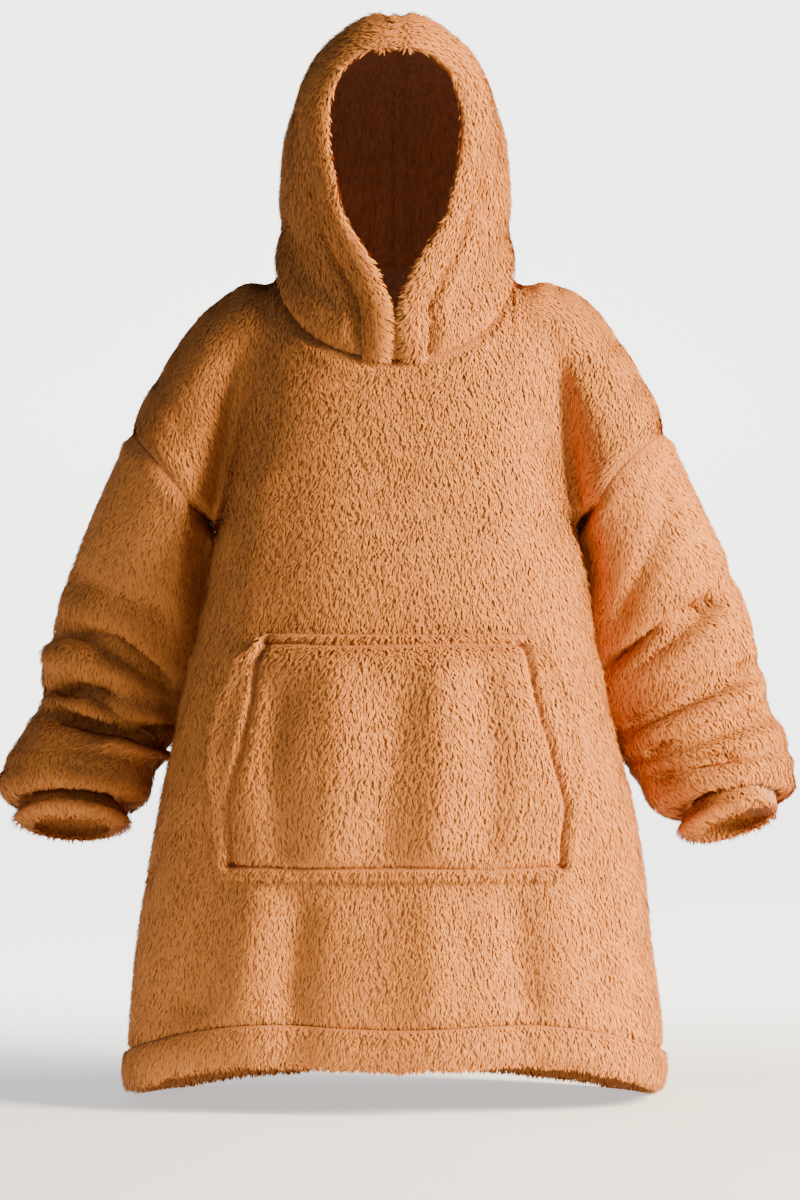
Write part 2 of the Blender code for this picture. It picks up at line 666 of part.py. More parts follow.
def hem_band(face, grid, directions):
    """Sections of the turned hem below the front or back."""
    seam = grid[0]
    columns = grid.shape[1]
    half = (columns - 1) // 2
    c = np.abs(np.arange(columns) - half) / half
    degrees = 90.0 * c if face == "front" else 180.0 - 90.0 * c
    edge_z = read(HEM_LEVELS, HEM_COLUMNS, "edge_z", degrees)
    side = [side_name(x) for x in seam[:, 0]]
    widths = np.array([body(name, z) for name, z in zip(side, edge_z)])
    seam_widths = np.array([body(name, z) for name, z in zip(side, seam[:, 2])])
    lower = seam.copy()
    lower[:, 0] *= widths / seam_widths
    lower[:, 2] = edge_z
    rings = band_rings(seam, lower, directions, 0.5 * HEM_THICKNESS, 0.0, BAND_SIDES)
    path = np.gradient(seam, axis=0)
    path = path / np.linalg.norm(path, axis=-1, keepdims=True)
    rings[0] += path[0] * 0.5 * SEAM_GAP
    rings[-1] -= path[-1] * 0.5 * SEAM_GAP
    return rings


def cuff_rings(sleeve_end, sleeve_before, wall_out):
    """Sections of a turned cuff, one for each column of the sleeve's last ring."""
    centre = sleeve_end.mean(axis=0)
    spoke = sleeve_end - centre
    plane = np.cross(spoke[0], spoke[len(spoke) // 4])
    plane = plane / np.linalg.norm(plane)
    down = plane if np.dot(plane, centre - sleeve_before.mean(axis=0)) > 0 else -plane
    outward = spoke / np.linalg.norm(spoke, axis=1)[:, None]
    outward = outward - np.outer(outward @ down, down)
    outward = outward / np.linalg.norm(outward, axis=1)[:, None]
    top = sleeve_end - wall_out * 0.5 * WALL
    middle = top + down * (0.5 * CUFF_HEIGHT + CUFF_GAP)
    angle = np.linspace(0.0, 2.0 * np.pi, BAND_SIDES + 1)[:-1]
    rise = 0.5 * CUFF_THICKNESS * np.sin(angle) + CUFF_FLARE * np.sin(angle) ** 2
    return (
        middle[:, None]
        - down[None, None] * (0.5 * CUFF_HEIGHT * np.cos(angle))[None, :, None]
        + outward[:, None] * rise[None, :, None]
    )


def pocket_grids(across, up):
    """Outer and inner points of the pocket, rows from its bottom seam up."""
    t = np.linspace(0.0, 1.0, up + 1)[:, None]
    u = np.linspace(-1.0, 1.0, across + 1)[None, :]
    low, high = POCKET_OUTLINE[0][0], POCKET_OUTLINE[-1][0]
    z = low + (high - low) * t + 0.0 * u
    half = read(POCKET_OUTLINE, POCKET_COLUMNS, "half_width", z)
    x = POCKET_X + half * np.sign(u) * np.abs(u) ** 0.9
    y = np.where(
        x < 0, face_y("front", "left", np.abs(x), z), face_y("front", "right", np.abs(x), z)
    )
    surface = np.stack([x, y, z], axis=-1)
    out = normals(surface)
    upright = np.sin(np.pi * t) ** 0.7
    mouth = np.clip((t - 0.12) / 0.3, 0.0, 1.0) * np.clip((1.0 - t) / 0.12, 0.0, 1.0)
    stand = POCKET_MOUTH_GAP * mouth + (POCKET_BULGE - POCKET_MOUTH_GAP * mouth) * (
        upright * (1.0 - np.abs(u) ** 3)
    )
    stand = POCKET_SEAM_GAP + np.maximum(stand, 0.0)
    inner = surface + out * stand[..., None]
    outer = surface + out * (stand + WALL)[..., None]
    return outer, inner


def clear_scene():
    for thing in list(bpy.data.objects):
        bpy.data.objects.remove(thing, do_unlink=True)


def build():
    clear_scene()
    garment = bpy.data.collections.new("plush_hooded_blanket_top")
    bpy.context.scene.collection.children.link(garment)

    front = whole_face("front")
    back = whole_face("back")
    hood_right = hood_half(front, back)
    hood_left = mirrored(hood_half(mirrored(front), mirrored(back)))
    sleeves = {
        side: sleeve_grid(side, front, back, SLEEVE_ROWS) for side in ("left", "right")
    }

    # Wall directions, with one common direction along every seam.
    front_out = normals(front)
    back_out = -normals(back)
    hood_right_out = normals(hood_right)
    hood_left_out = normals(hood_left)
    sleeve_out = {
        "right": normals(sleeves["right"], True),
        "left": -normals(sleeves["left"], True),
    }
    rows = ARMHOLE_ROWS
    for side, column in (("left", 0), ("right", -1)):
        share(front_out[:-rows, column], back_out[:-rows, column])
        ring = sleeve_out[side][0]
        half = rows
        front_edge = front_out[-rows - 1:, column][::-1]
        back_edge = back_out[-rows - 1:, column]
        share(front_edge[1:-1], ring[1:half])
        share(back_edge[1:-1], ring[half + 1:])
        share(front_out[-1, column], back_out[-1, column], ring[0])
        share(front_out[-rows - 1, column], back_out[-rows - 1, column], ring[half])
    middle = HALF_COLUMNS
    neck = NECK_COLUMNS
    share(front_out[-1, :middle - neck], back_out[-1, :middle - neck])
    share(front_out[-1, middle + neck + 1:], back_out[-1, middle + neck + 1:])
    for hood_out, step in ((hood_right_out, 1), (hood_left_out, -1)):
        bottom = hood_out[0] if step > 0 else hood_out[0][::-1]
        count = neck - 1
        front_line = front_out[-1, middle + step:middle + step * neck:step]
        back_line = back_out[-1, middle + step * (neck - 1)::-step][:neck - 1]
        share(front_line, bottom[:count])
        share(back_line, bottom[count + 1:-1])
        share(front_out[-1, middle + step * neck], back_out[-1, middle + step * neck],
              bottom[count])
    share(back_out[-1, middle], hood_right_out[0, -1], hood_left_out[0, 0])
    share(hood_right_out[1:, -1], hood_left_out[1:, 0])
    share(hood_right_out[-1, :-1], hood_left_out[-1, 1:][::-1])

    half_gap = 0.5 * SEAM_GAP
    sheets = (
        ("front_panel", front, front_out, False),
        ("back_panel", back, back_out, False),
        ("hood_right", hood_right, hood_right_out, False),
        ("hood_left", hood_left, hood_left_out, False),
        ("sleeve_right", sleeves["right"], sleeve_out["right"], True),
        ("sleeve_left", sleeves["left"], sleeve_out["left"], True),
    )
    for name, grid, out, wrap in sheets:
        outer = draw_in(grid, half_gap, wrap)
        inner = draw_in(grid - out * WALL, half_gap, wrap)
        if name.startswith("hood"):
            step = grid[1] - grid[0]
            step = step / np.linalg.norm(step, axis=-1, keepdims=True)
            outer[0] += step * HOOD_FOOT_RISE
            inner[0] += step * HOOD_FOOT_RISE
        points, faces = wall_mesh(outer, inner, wrap)
        add_piece(name, points, faces, garment)

    outer, inner = pocket_grids(POCKET_ACROSS, POCKET_UP)
    points, faces = wall_mesh(outer, inner, False)
    add_piece("pocket", points, faces, garment)

    for name, face, grid, out in (
        ("hem_front", "front", front, front_out),
        ("hem_back", "back", back, back_out),
    ):
        rings = hem_band(face, grid, out[0])
        if face == "back":
            rings = rings[::-1]
        points, faces = tube_mesh(rings, False)
        add_piece(name, points, faces, garment)

    along = np.linspace(0.0, 1.0, HOOD_ROWS + 1)
    seam, lip = edge_curves(front, along)
    lip[:, 0] = np.maximum(lip[:, 0], half_gap)
    out = across_band(seam, lip)
    out[-1, 0] = 0.0
    rings = band_rings(seam, lip, -out, 0.5 * HOOD_EDGE_THICKNESS, HOOD_EDGE_PUFF, BAND_SIDES)
    rings = mitre(rings, seam, hood_right_out[:, 0], hood_right[:, 1] - hood_right[:, 0])
    rings[0, :, 2] += HOOD_FOOT_RISE
    rings[..., 0] = np.maximum(rings[..., 0], half_gap)
    for name, mirror in (("hood_edge_right", 1.0), ("hood_edge_left", -1.0)):
        turned = rings * np.array([mirror, 1.0, 1.0])
        if mirror < 0:
            turned = turned[::-1]
        points, faces = tube_mesh(turned[::-1], False)
        add_piece(name, points, faces, garment)

    for side in ("right", "left"):
        end, before = sleeves[side][-1], sleeves[side][-2]
        rings = cuff_rings(end, before, sleeve_out[side][-1])
        rings = mitre(rings, end, sleeve_out[side][-1], before - end)
        if side == "left":
            rings = rings[::-1]
        points, faces = tube_mesh(rings, True)
        add_piece("cuff_" + side, points, faces, garment)


build()
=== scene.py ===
"""Plush hooded blanket top: the finished look of every cut and sewn piece, over its CAD frame.

Metres, +Z up, the front faces -Y and +X is the viewer's right. Each CAD solid is replaced by a thin
knitted shell on the same form, and the shell carries a pile of short lying tufts that reaches as
far out as the solid does. Run as a script: main() registers the operators and calls them in order.
"""

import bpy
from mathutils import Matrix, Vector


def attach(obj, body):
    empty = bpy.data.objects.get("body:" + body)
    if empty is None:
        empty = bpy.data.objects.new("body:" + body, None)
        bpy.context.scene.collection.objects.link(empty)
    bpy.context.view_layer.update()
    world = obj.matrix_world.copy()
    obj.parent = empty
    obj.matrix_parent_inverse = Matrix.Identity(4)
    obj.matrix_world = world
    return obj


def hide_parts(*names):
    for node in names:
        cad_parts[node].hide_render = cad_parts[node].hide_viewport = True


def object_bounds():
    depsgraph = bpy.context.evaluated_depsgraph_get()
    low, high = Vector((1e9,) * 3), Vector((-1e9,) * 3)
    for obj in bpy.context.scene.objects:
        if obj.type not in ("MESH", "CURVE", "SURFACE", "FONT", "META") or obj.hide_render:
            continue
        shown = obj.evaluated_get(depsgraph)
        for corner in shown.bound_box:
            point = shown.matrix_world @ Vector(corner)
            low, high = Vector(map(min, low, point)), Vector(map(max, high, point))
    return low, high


bl_info = {
    "name": "Plush hooded blanket top",
    "version": (1, 0, 0),
    "blender": (4, 5, 0),
    "location": "3D View > Sidebar > Plush top",
    "description": "Builds the shells, the pile and the stage of a plush hooded blanket top",
    "category": "Add Mesh",
}

import bmesh
import bpy
import numpy as np
from bpy.props import FloatProperty, FloatVectorProperty, PointerProperty

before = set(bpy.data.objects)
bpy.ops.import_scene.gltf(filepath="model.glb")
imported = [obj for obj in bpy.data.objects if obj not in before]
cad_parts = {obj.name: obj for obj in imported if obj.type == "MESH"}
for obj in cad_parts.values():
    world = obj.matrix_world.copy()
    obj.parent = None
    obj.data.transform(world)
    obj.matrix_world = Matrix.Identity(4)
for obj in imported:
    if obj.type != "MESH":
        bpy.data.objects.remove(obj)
CAD_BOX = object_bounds()

# The CAD solids' own sizes, which the shells follow.
WALL = 0.007
BAND_GAP = 0.0006
NECK_COLUMNS = 6
SHOULDER_COLUMNS = 8
HALF_COLUMNS = NECK_COLUMNS + SHOULDER_COLUMNS
SKIRT_ROWS = 12
ARMHOLE_ROWS = 9
SLEEVE_ROWS = 18
HOOD_ROWS = 12

# How much finer the shells are divided than the solids, and the sides of a turned band's section.
REFINE = 4
BAND_SIDES = 24

# Body sections. left and right are half widths, middle is the y of the widest point, and front and
# back are the depths from there to the chest and to the shoulder blades.
BODY_COLUMNS = ("z", "left", "right", "middle", "front", "back")
BODY_SECTIONS = (
    (-0.905, 0.2975, 0.2955, 0.000, 0.200, 0.195),
    (-0.825, 0.2926, 0.2937, 0.000, 0.198, 0.190),
    (-0.737, 0.2849, 0.2827, 0.000, 0.193, 0.182),
    (-0.649, 0.2706, 0.2735, 0.002, 0.186, 0.170),
    (-0.570, 0.2570, 0.2590, 0.006, 0.180, 0.158),
    (-0.515, 0.2443, 0.2440, 0.010, 0.177, 0.150),
    (-0.458, 0.2344, 0.2325, 0.014, 0.174, 0.142),
    (-0.396, 0.2186, 0.2205, 0.018, 0.170, 0.135),
    (-0.320, 0.2051, 0.2100, 0.025, 0.165, 0.124),
    (-0.263, 0.1971, 0.2004, 0.029, 0.160, 0.114),
    (-0.208, 0.1869, 0.1925, 0.030, 0.154, 0.106),
    (-0.158, 0.1793, 0.1900, 0.030, 0.148, 0.098),
    (-0.113, 0.1760, 0.1885, 0.030, 0.141, 0.092),
    (0.030, 0.1720, 0.1830, 0.030, 0.128, 0.080),
)
FRONT_SQUARENESS = 2.6
BACK_SQUARENESS = 2.2

# The top outline of the shoulders. Inside the neck it is the rise that the cloth would have had.
SHOULDER_COLUMNS_OF_TABLE = ("left_x", "right_x", "z")
SHOULDER_OUTLINE = (
    (0.0000, 0.0000, 0.0750),
    (0.0500, 0.0500, 0.0700),
    (0.0900, 0.0900, 0.0540),
    (0.1150, 0.1150, 0.0310),
    (0.1310, 0.1310, 0.0000),
    (0.1640, 0.1700, -0.0150),
    (0.1893, 0.2058, -0.0310),
    (0.2147, 0.2279, -0.0532),
    (0.2324, 0.2434, -0.0753),
    (0.2468, 0.2589, -0.0974),
    (0.2601, 0.2711, -0.1195),
    (0.2745, 0.2844, -0.1417),
    (0.2866, 0.2943, -0.1638),
    (0.2955, 0.3021, -0.1755),
)
CHEST_ROUNDING = 0.150
BACK_ROUNDING = 0.120

# Neckline and armhole.
NECK_HALF_WIDTH = 0.131
NECK_FRONT_Z = -0.1024
NECK_BACK_Z = 0.012
NECK_SQUARENESS = 2.15
ARMPIT_Z = -0.285
ARMHOLE_BOW = {"left": 0.002, "right": 0.012}
ARM_HALF_HEIGHT = 0.073
ARM_FRONT = 0.080
ARM_BACK = 0.075
VALLEY_TOP_Z = -0.075
VALLEY_WIDTH = 0.050
BLEND = 0.015
RELAX_PASSES = 1

# Hem: height of its seam and of its lower edge, by the angle round the body from the front middle.
HEM_COLUMNS = ("degrees", "seam_z", "edge_z")
HEM_LEVELS = (
    (0.0, -0.8185, -0.8560),
    (25.0, -0.8150, -0.8520),
    (45.0, -0.8260, -0.8640),
    (65.0, -0.8420, -0.8810),
    (90.0, -0.8580, -0.8950),
    (110.0, -0.8700, -0.9080),
    (135.0, -0.8640, -0.9020),
    (180.0, -0.8480, -0.8850),
)
HEM_THICKNESS = 0.013

# Soft upright folds of the body: the side they lie on, x and z of the middle, half width, half
# height, and depth, where in is positive.
BODY_FOLDS = (
    ("front", -0.108, -0.800, 0.030, 0.130, 0.010),
    ("front", 0.036, -0.780, 0.050, 0.150, -0.007),
    ("front", 0.142, -0.750, 0.030, 0.140, 0.009),
    ("front", -0.205, -0.700, 0.030, 0.120, 0.006),
    ("front", -0.040, -0.330, 0.110, 0.060, -0.005),
    ("back", -0.120, -0.700, 0.034, 0.200, 0.012),
    ("back", 0.020, -0.740, 0.045, 0.200, -0.008),
    ("back", 0.135, -0.720, 0.032, 0.180, 0.011),
    ("back", 0.000, -0.180, 0.090, 0.050, -0.004),
)

# Sleeves: outer and inner outline point of each section seen from the front, the y of its middle,
# its half depth, and how far its front edge is lifted for its depth.
SLEEVE_COLUMNS = (
    "along", "outer_x", "outer_z", "inner_x", "inner_z", "middle", "half_depth", "lift")
SLEEVE_SECTIONS = {
    "right": (
        (0.00, 0.3021, -0.1755, 0.2045, -0.2850, 0.030, 0.076, 0.00),
        (0.16, 0.3396, -0.2520, 0.2160, -0.3450, 0.047, 0.076, 0.00),
        (0.36, 0.3825, -0.3410, 0.2180, -0.4200, 0.070, 0.072, 0.00),
        (0.48, 0.4020, -0.3950, 0.2230, -0.4600, 0.075, 0.070, 0.00),
        (0.62, 0.4160, -0.4560, 0.2330, -0.5020, 0.074, 0.071, 0.05),
        (0.74, 0.4320, -0.5020, 0.2440, -0.5320, 0.064, 0.074, 0.12),
        (0.85, 0.4440, -0.5430, 0.2620, -0.5580, 0.050, 0.072, 0.22),
        (0.93, 0.4380, -0.5650, 0.2830, -0.5790, 0.038, 0.062, 0.32),
        (1.00, 0.4170, -0.5660, 0.3230, -0.5960, 0.030, 0.043, 0.40),
    ),
    "left": (
        (0.00, 0.2955, -0.1755, 0.2010, -0.2850, 0.030, 0.076, 0.00),
        (0.16, 0.3308, -0.2520, 0.2130, -0.3450, 0.047, 0.076, 0.00),
        (0.36, 0.3682, -0.3410, 0.2190, -0.4200, 0.070, 0.072, 0.00),
        (0.48, 0.3885, -0.3950, 0.2260, -0.4600, 0.075, 0.070, 0.00),
        (0.62, 0.4010, -0.4600, 0.2370, -0.5050, 0.074, 0.071, 0.05),
        (0.74, 0.4120, -0.5030, 0.2480, -0.5330, 0.064, 0.074, 0.12),
        (0.85, 0.4330, -0.5400, 0.2610, -0.5490, 0.050, 0.072, 0.22),
        (0.93, 0.4330, -0.5660, 0.2760, -0.5700, 0.038, 0.062, 0.30),
        (1.00, 0.4060, -0.5830, 0.3060, -0.5870, 0.030, 0.044, 0.36),
    ),
}
ARMHOLE_REACH = 0.35

# Sleeve folds: place along the sleeve, how much further along they lie at the inner side, the angle
# they centre on (0 is outside, 90 the front), its spread, their half width along the sleeve and depth.
SLEEVE_FOLDS = {
    "right": (
        (0.34, 0.16, 75.0, 80.0, 0.030, 0.009),
        (0.56, 0.12, 85.0, 75.0, 0.026, 0.014),
        (0.70, 0.10, 80.0, 85.0, 0.024, 0.013),
        (0.81, 0.06, 70.0, 70.0, 0.020, 0.008),
        (0.50, 0.10, 260.0, 80.0, 0.030, 0.012),
        (0.66, 0.08, 275.0, 90.0, 0.026, 0.012),
    ),
    "left": (
        (0.44, 0.06, 80.0, 75.0, 0.024, 0.009),
        (0.57, 0.10, 85.0, 70.0, 0.022, 0.008),
        (0.68, 0.04, 80.0, 85.0, 0.024, 0.014),
        (0.80, 0.06, 110.0, 70.0, 0.020, 0.003),
        (0.48, 0.08, 265.0, 80.0, 0.030, 0.012),
        (0.64, 0.10, 280.0, 90.0, 0.026, 0.012),
    ),
}

# Cuffs: a turned, padded ring below the end of each sleeve.
CUFF_HEIGHT = 0.030
CUFF_THICKNESS = 0.022
CUFF_FLARE = 0.006
CUFF_GAP = 0.0008

# Hood: its edge seam and the edge of the face opening, from the neckline (along 0) to the top seam.
EDGE_COLUMNS = ("along", "seam_x", "seam_y", "seam_z", "lip_x", "lip_y", "lip_z")
HOOD_EDGE = (
    (0.083, 0.0380, -0.1120, -0.0710, 0.0006, -0.1240, -0.0780),
    (0.167, 0.0400, -0.1090, -0.0430, 0.0055, -0.1280, -0.0500),
    (0.250, 0.0575, -0.0980, -0.0050, 0.0185, -0.1250, -0.0150),
    (0.333, 0.0700, -0.0910, 0.0200, 0.0360, -0.1210, 0.0155),
    (0.417, 0.0850, -0.0840, 0.0550, 0.0555, -0.1180, 0.0450),
    (0.500, 0.0985, -0.0780, 0.0980, 0.0665, -0.1150, 0.0900),
    (0.583, 0.1050, -0.0750, 0.1400, 0.0728, -0.1120, 0.1340),
    (0.667, 0.1050, -0.0720, 0.1780, 0.0718, -0.1100, 0.1710),
    (0.750, 0.0920, -0.0690, 0.2160, 0.0600, -0.1110, 0.2050),
    (0.833, 0.0640, -0.0680, 0.2500, 0.0370, -0.1130, 0.2255),
    (0.917, 0.0330, -0.0690, 0.2690, 0.0175, -0.1150, 0.2315),
    (1.000, 0.0000, -0.0700, 0.2745, 0.0000, -0.1150, 0.2325),
)
# Hood: the widest point of each section and its end on the middle seam.
CROWN_COLUMNS = ("along", "half_width", "side_y", "side_z", "back_y", "back_z")
HOOD_CROWN = (
    (0.000, 0.1310, 0.030, 0.0000, 0.095, 0.0120),
    (0.167, 0.1280, 0.025, 0.0400, 0.114, 0.0500),
    (0.333, 0.1255, 0.021, 0.0900, 0.127, 0.1000),
    (0.500, 0.1185, 0.018, 0.1560, 0.130, 0.1600),
    (0.667, 0.0965, 0.012, 0.2160, 0.113, 0.2150),
    (0.750, 0.0765, 0.008, 0.2425, 0.100, 0.2350),
    (0.833, 0.0490, 0.004, 0.2645, 0.089, 0.2455),
    (0.917, 0.0240, 0.001, 0.2755, 0.083, 0.2495),
    (1.000, 0.0000, 0.000, 0.2778, 0.080, 0.2510),
)
NECK_REACH = 0.30

# Kangaroo pocket: half width at each height, and how far it stands off the front.
POCKET_COLUMNS = ("z", "half_width")
POCKET_OUTLINE = (
    (-0.6560, 0.1855),
    (-0.6000, 0.1880),
    (-0.5500, 0.1890),
    (-0.4950, 0.1820),
    (-0.4400, 0.1620),
    (-0.4000, 0.1410),
)
POCKET_X = 0.002
POCKET_BULGE = 0.024
POCKET_MOUTH_GAP = 0.017


def read(table, columns, name, at):
    """One column of a table at the given places along its first column, by smooth cubics."""
    rows = sorted(table, key=lambda row: row[0])
    keys = np.array([row[0] for row in rows], float)
    values = np.array([row[columns.index(name)] for row in rows], float)
    return smooth(keys, values, at)


def smooth(keys, values, at):
    """Cubic Hermite curve through the values, its slopes taken from the neighbouring keys."""
    slopes = np.gradient(values, keys)
    at = np.clip(at, keys[0], keys[-1])
    left = np.clip(np.searchsorted(keys, at) - 1, 0, len(keys) - 2)
    step = keys[left + 1] - keys[left]
    t = (at - keys[left]) / step
    start = (2 * t**3 - 3 * t**2 + 1) * values[left] + (t**3 - 2 * t**2 + t) * step * slopes[left]
    end = (3 * t**2 - 2 * t**3) * values[left + 1] + (t**3 - t**2) * step * slopes[left + 1]
    return start + end


def ease(t):
    """0 to 1 with level ends."""
    t = np.clip(t, 0.0, 1.0)
    return t * t * (3.0 - 2.0 * t)


def quarter(t):
    """Height of a quarter circle that starts upright at 0 and is level from 1 on."""
    return np.sqrt(np.maximum(0.0, 1.0 - (1.0 - np.clip(t, 0.0, 1.0)) ** 2))


def body(name, z):
    return read(BODY_SECTIONS, BODY_COLUMNS, name, z)


def shoulder_curve(side):
    """The top outline of one shoulder, as x and z arrays."""
    column = SHOULDER_COLUMNS_OF_TABLE.index(side + "_x")
    table = np.array(SHOULDER_OUTLINE)
    return table[:, column], table[:, 2]


def below_shoulder(side, x, z):
    """Distance of a point, seen from the front, below the top outline."""
    xs, zs = shoulder_curve(side)
    line_x = np.linspace(xs[0], xs[-1], 160)
    line_z = smooth(xs, zs, line_x)
    away = np.hypot(x[..., None] - line_x, z[..., None] - line_z).min(axis=-1)
    return np.where(z > smooth(xs, zs, x), 0.0, away)


def body_fold(face, x, z):
    """How far the upright folds push the cloth in at a point of the front or back."""
    depth = np.zeros(np.broadcast(x, z).shape)
    for name, fold_x, fold_z, half_width, half_height, fold_depth in BODY_FOLDS:
        if name == face:
            across = np.exp(-(((x - fold_x) / half_width) ** 2))
            along = np.exp(-(((z - fold_z) / half_height) ** 2))
            depth = depth + fold_depth * across * along
    return depth


def bulge(face, side, x, z):
    """How far the cloth stands in front of (or behind) the middle surface; x is outwards."""
    front = face == "front"
    power = FRONT_SQUARENESS if front else BACK_SQUARENESS
    width = body(side, z)
    below = below_shoulder(side, x, z)
    rounding = CHEST_ROUNDING if front else BACK_ROUNDING
    inside = np.maximum(0.0, 1.0 - np.clip(x / width, 0.0, 1.0) ** power)
    torso = body(face, z) * inside ** (1.0 / power) * quarter(below / rounding)
    rise = np.clip((z - ARMPIT_Z) / (VALLEY_TOP_Z - ARMPIT_Z), 0.0, 1.0)
    shallow = rise**1.3
    across = quarter((x - width + 0.004) / VALLEY_WIDTH)
    reach = ARM_FRONT if front else ARM_BACK
    arm = reach * quarter(below / ARM_HALF_HEIGHT) * (shallow + (1.0 - shallow) * across)
    arm = arm * ease((z - ARMPIT_Z) / 0.030)
    soft = BLEND * np.clip((z - ARMPIT_Z) / 0.05, 0.0, 1.0) * quarter(below / 0.05)
    return 0.5 * (torso + arm + np.sqrt((torso - arm) ** 2 + soft**2))


def face_y(face, side, x, z):
    """y of the front or back at x (distance out) and z, folds included."""
    sign = -1.0 if face == "front" else 1.0
    signed_x = -x if side == "left" else x
    width = body(side, z)
    room = np.clip(1.6 * (1.0 - np.clip(x / width, 0.0, 1.0)), 0.0, 1.0)
    depth = bulge(face, side, x, z) - body_fold(face, signed_x, z) * room
    return body("middle", z) + sign * depth


def neck_points(face, count):
    """x and z of the neckline, from the middle out to the neck point of the shoulder."""
    angle = np.linspace(0.0, 0.5 * np.pi, count + 1)
    x = NECK_HALF_WIDTH * np.sin(angle) ** (2.0 / NECK_SQUARENESS)
    low = NECK_FRONT_Z if face == "front" else NECK_BACK_Z
    z = low * np.cos(angle) ** (2.0 / NECK_SQUARENESS)
    return x, z


def shoulder_points(side, count):
    """x and z of the shoulder seam, evenly spaced from the neck point to the shoulder point."""
    xs, zs = shoulder_curve(side)
    fine = np.linspace(NECK_HALF_WIDTH, xs[-1], 200)
    fine_z = smooth(xs, zs, fine)
    length = np.concatenate(([0.0], np.cumsum(np.hypot(np.diff(fine), np.diff(fine_z)))))
    at = np.linspace(0.0, length[-1], count + 1)
    z = np.interp(at, length, fine_z)
    z[0] = 0.0
    return np.interp(at, length, fine), z


def armhole_points(side, count):
    """x and z of the armhole seam seen from the front, from the armpit to the shoulder point."""
    xs, zs = shoulder_curve(side)
    start = np.array([body(side, ARMPIT_Z), ARMPIT_Z])
    end = np.array([xs[-1], zs[-1]])
    line = end - start
    across = np.array([-line[1], line[0]]) / np.hypot(*line)
    t = np.linspace(0.0, 1.0, count + 1)[:, None]
    points = start + line * t + across * ARMHOLE_BOW[side] * 4.0 * t * (1.0 - t)
    return points[:, 0], points[:, 1]


def half_face(face, side, refine=1):
    """Grid of points of half the front or back, rows from the hem seam up, columns outwards."""
    neck_count = NECK_COLUMNS * refine
    shoulder_count = SHOULDER_COLUMNS * refine
    columns = neck_count + shoulder_count
    c = np.linspace(0.0, 1.0, columns + 1)
    power = FRONT_SQUARENESS if face == "front" else BACK_SQUARENESS
    spread = np.sin(0.5 * np.pi * c) ** (2.0 / power)

    # Skirt: level sections from the hem seam, which dips, up to the armpit.
    rows = []
    degrees = 90.0 * c if face == "front" else 180.0 - 90.0 * c
    hem_z = read(HEM_LEVELS, HEM_COLUMNS, "seam_z", degrees)
    for v in np.linspace(0.0, 1.0, SKIRT_ROWS * refine + 1):
        z = hem_z + (ARMPIT_Z - hem_z) * v
        x = body(side, z) * spread
        rows.append((x, z))

    # Yoke: a patch between the armpit section, the armhole, and the neckline with its shoulders.
    neck_x, neck_z = neck_points(face, neck_count)
    seam_x, seam_z = shoulder_points(side, shoulder_count)
    top = np.array([np.concatenate((neck_x, seam_x[1:])), np.concatenate((neck_z, seam_z[1:]))])
    bottom = np.array(rows[-1])
    hole = np.array(armhole_points(side, ARMHOLE_ROWS * refine))
    for i in range(1, ARMHOLE_ROWS * refine + 1):
        r = i / (ARMHOLE_ROWS * refine)
        middle = bottom[:, :1] * (1.0 - r) + top[:, :1] * r
        between = bottom * (1.0 - r) + top * r
        ends = middle * (1.0 - c) + hole[:, i:i + 1] * c
        corners = middle * (1.0 - c) + (bottom[:, -1:] * (1.0 - r) + top[:, -1:] * r) * c
        rows.append(tuple(between + ends - corners))

    x = np.array([row[0] for row in rows])
    z = np.array([row[1] for row in rows])
    y = face_y(face, side, x, z)
    y = relax(y, SKIRT_ROWS * refine - 1, RELAX_PASSES * refine)
    signed = -x if side == "left" else x
    return np.stack([signed, y, z], axis=-1)


def relax(y, first_row, passes):
    """Ease the depth of the yoke between its borders, so that the valley at the arm runs smooth."""
    y = y.copy()
    for _ in range(passes):
        inner = y[first_row:, :]
        around = 0.25 * (inner[:-2, 1:-1] + inner[2:, 1:-1] + inner[1:-1, :-2] + inner[1:-1, 2:])
        inner[1:-1, 1:-1] += 0.5 * (around - inner[1:-1, 1:-1])
    return y


def whole_face(face, refine=1):
    """Grid of the whole front or back, columns from the viewer's left to right."""
    left = half_face(face, "left", refine)[:, ::-1]
    right = half_face(face, "right", refine)
    return np.concatenate([left, right[:, 1:]], axis=1)


def sleeve_grid(side, front, back, rows):
    """Rings from the armhole to the cuff seam; column 0 is outside, the front a quarter round."""
    column = -1 if side == "right" else 0
    armhole_rows = (front.shape[0] - 1) * ARMHOLE_ROWS // (ARMHOLE_ROWS + SKIRT_ROWS)
    front_edge = front[-armhole_rows - 1:, column][::-1]
    back_edge = back[-armhole_rows - 1:, column]
    armhole = np.concatenate([front_edge, back_edge[1:-1]])
    sign = 1.0 if side == "right" else -1.0
    table = SLEEVE_SECTIONS[side]
    angle = np.linspace(0.0, 2.0 * np.pi, len(armhole) + 1)[:-1]
    rings = []
    for s in np.linspace(0.0, 1.0, rows + 1):
        ring = sleeve_ring(table, sign, s, angle)
        start = sleeve_ring(table, sign, 0.0, angle)
        hold = 1.0 - ease(s / ARMHOLE_REACH)
        ring = ring + (armhole - start) * hold
        rings.append(fold_ring(side, ring, s, angle))
    return np.array(rings)


def sleeve_ring(table, sign, s, angle):
    """One oval section of a sleeve."""
    value = {name: read(table, SLEEVE_COLUMNS, name, s) for name in SLEEVE_COLUMNS[1:]}
    outer = np.array([sign * value["outer_x"], 0.0, value["outer_z"]])
    inner = np.array([sign * value["inner_x"], 0.0, value["inner_z"]])
    centre = 0.5 * (outer + inner) + np.array([0.0, value["middle"], 0.0])
    across = 0.5 * (outer - inner)
    forward = value["half_depth"] * np.array([0.0, -1.0, value["lift"]])
    return centre + np.cos(angle)[:, None] * across + np.sin(angle)[:, None] * forward


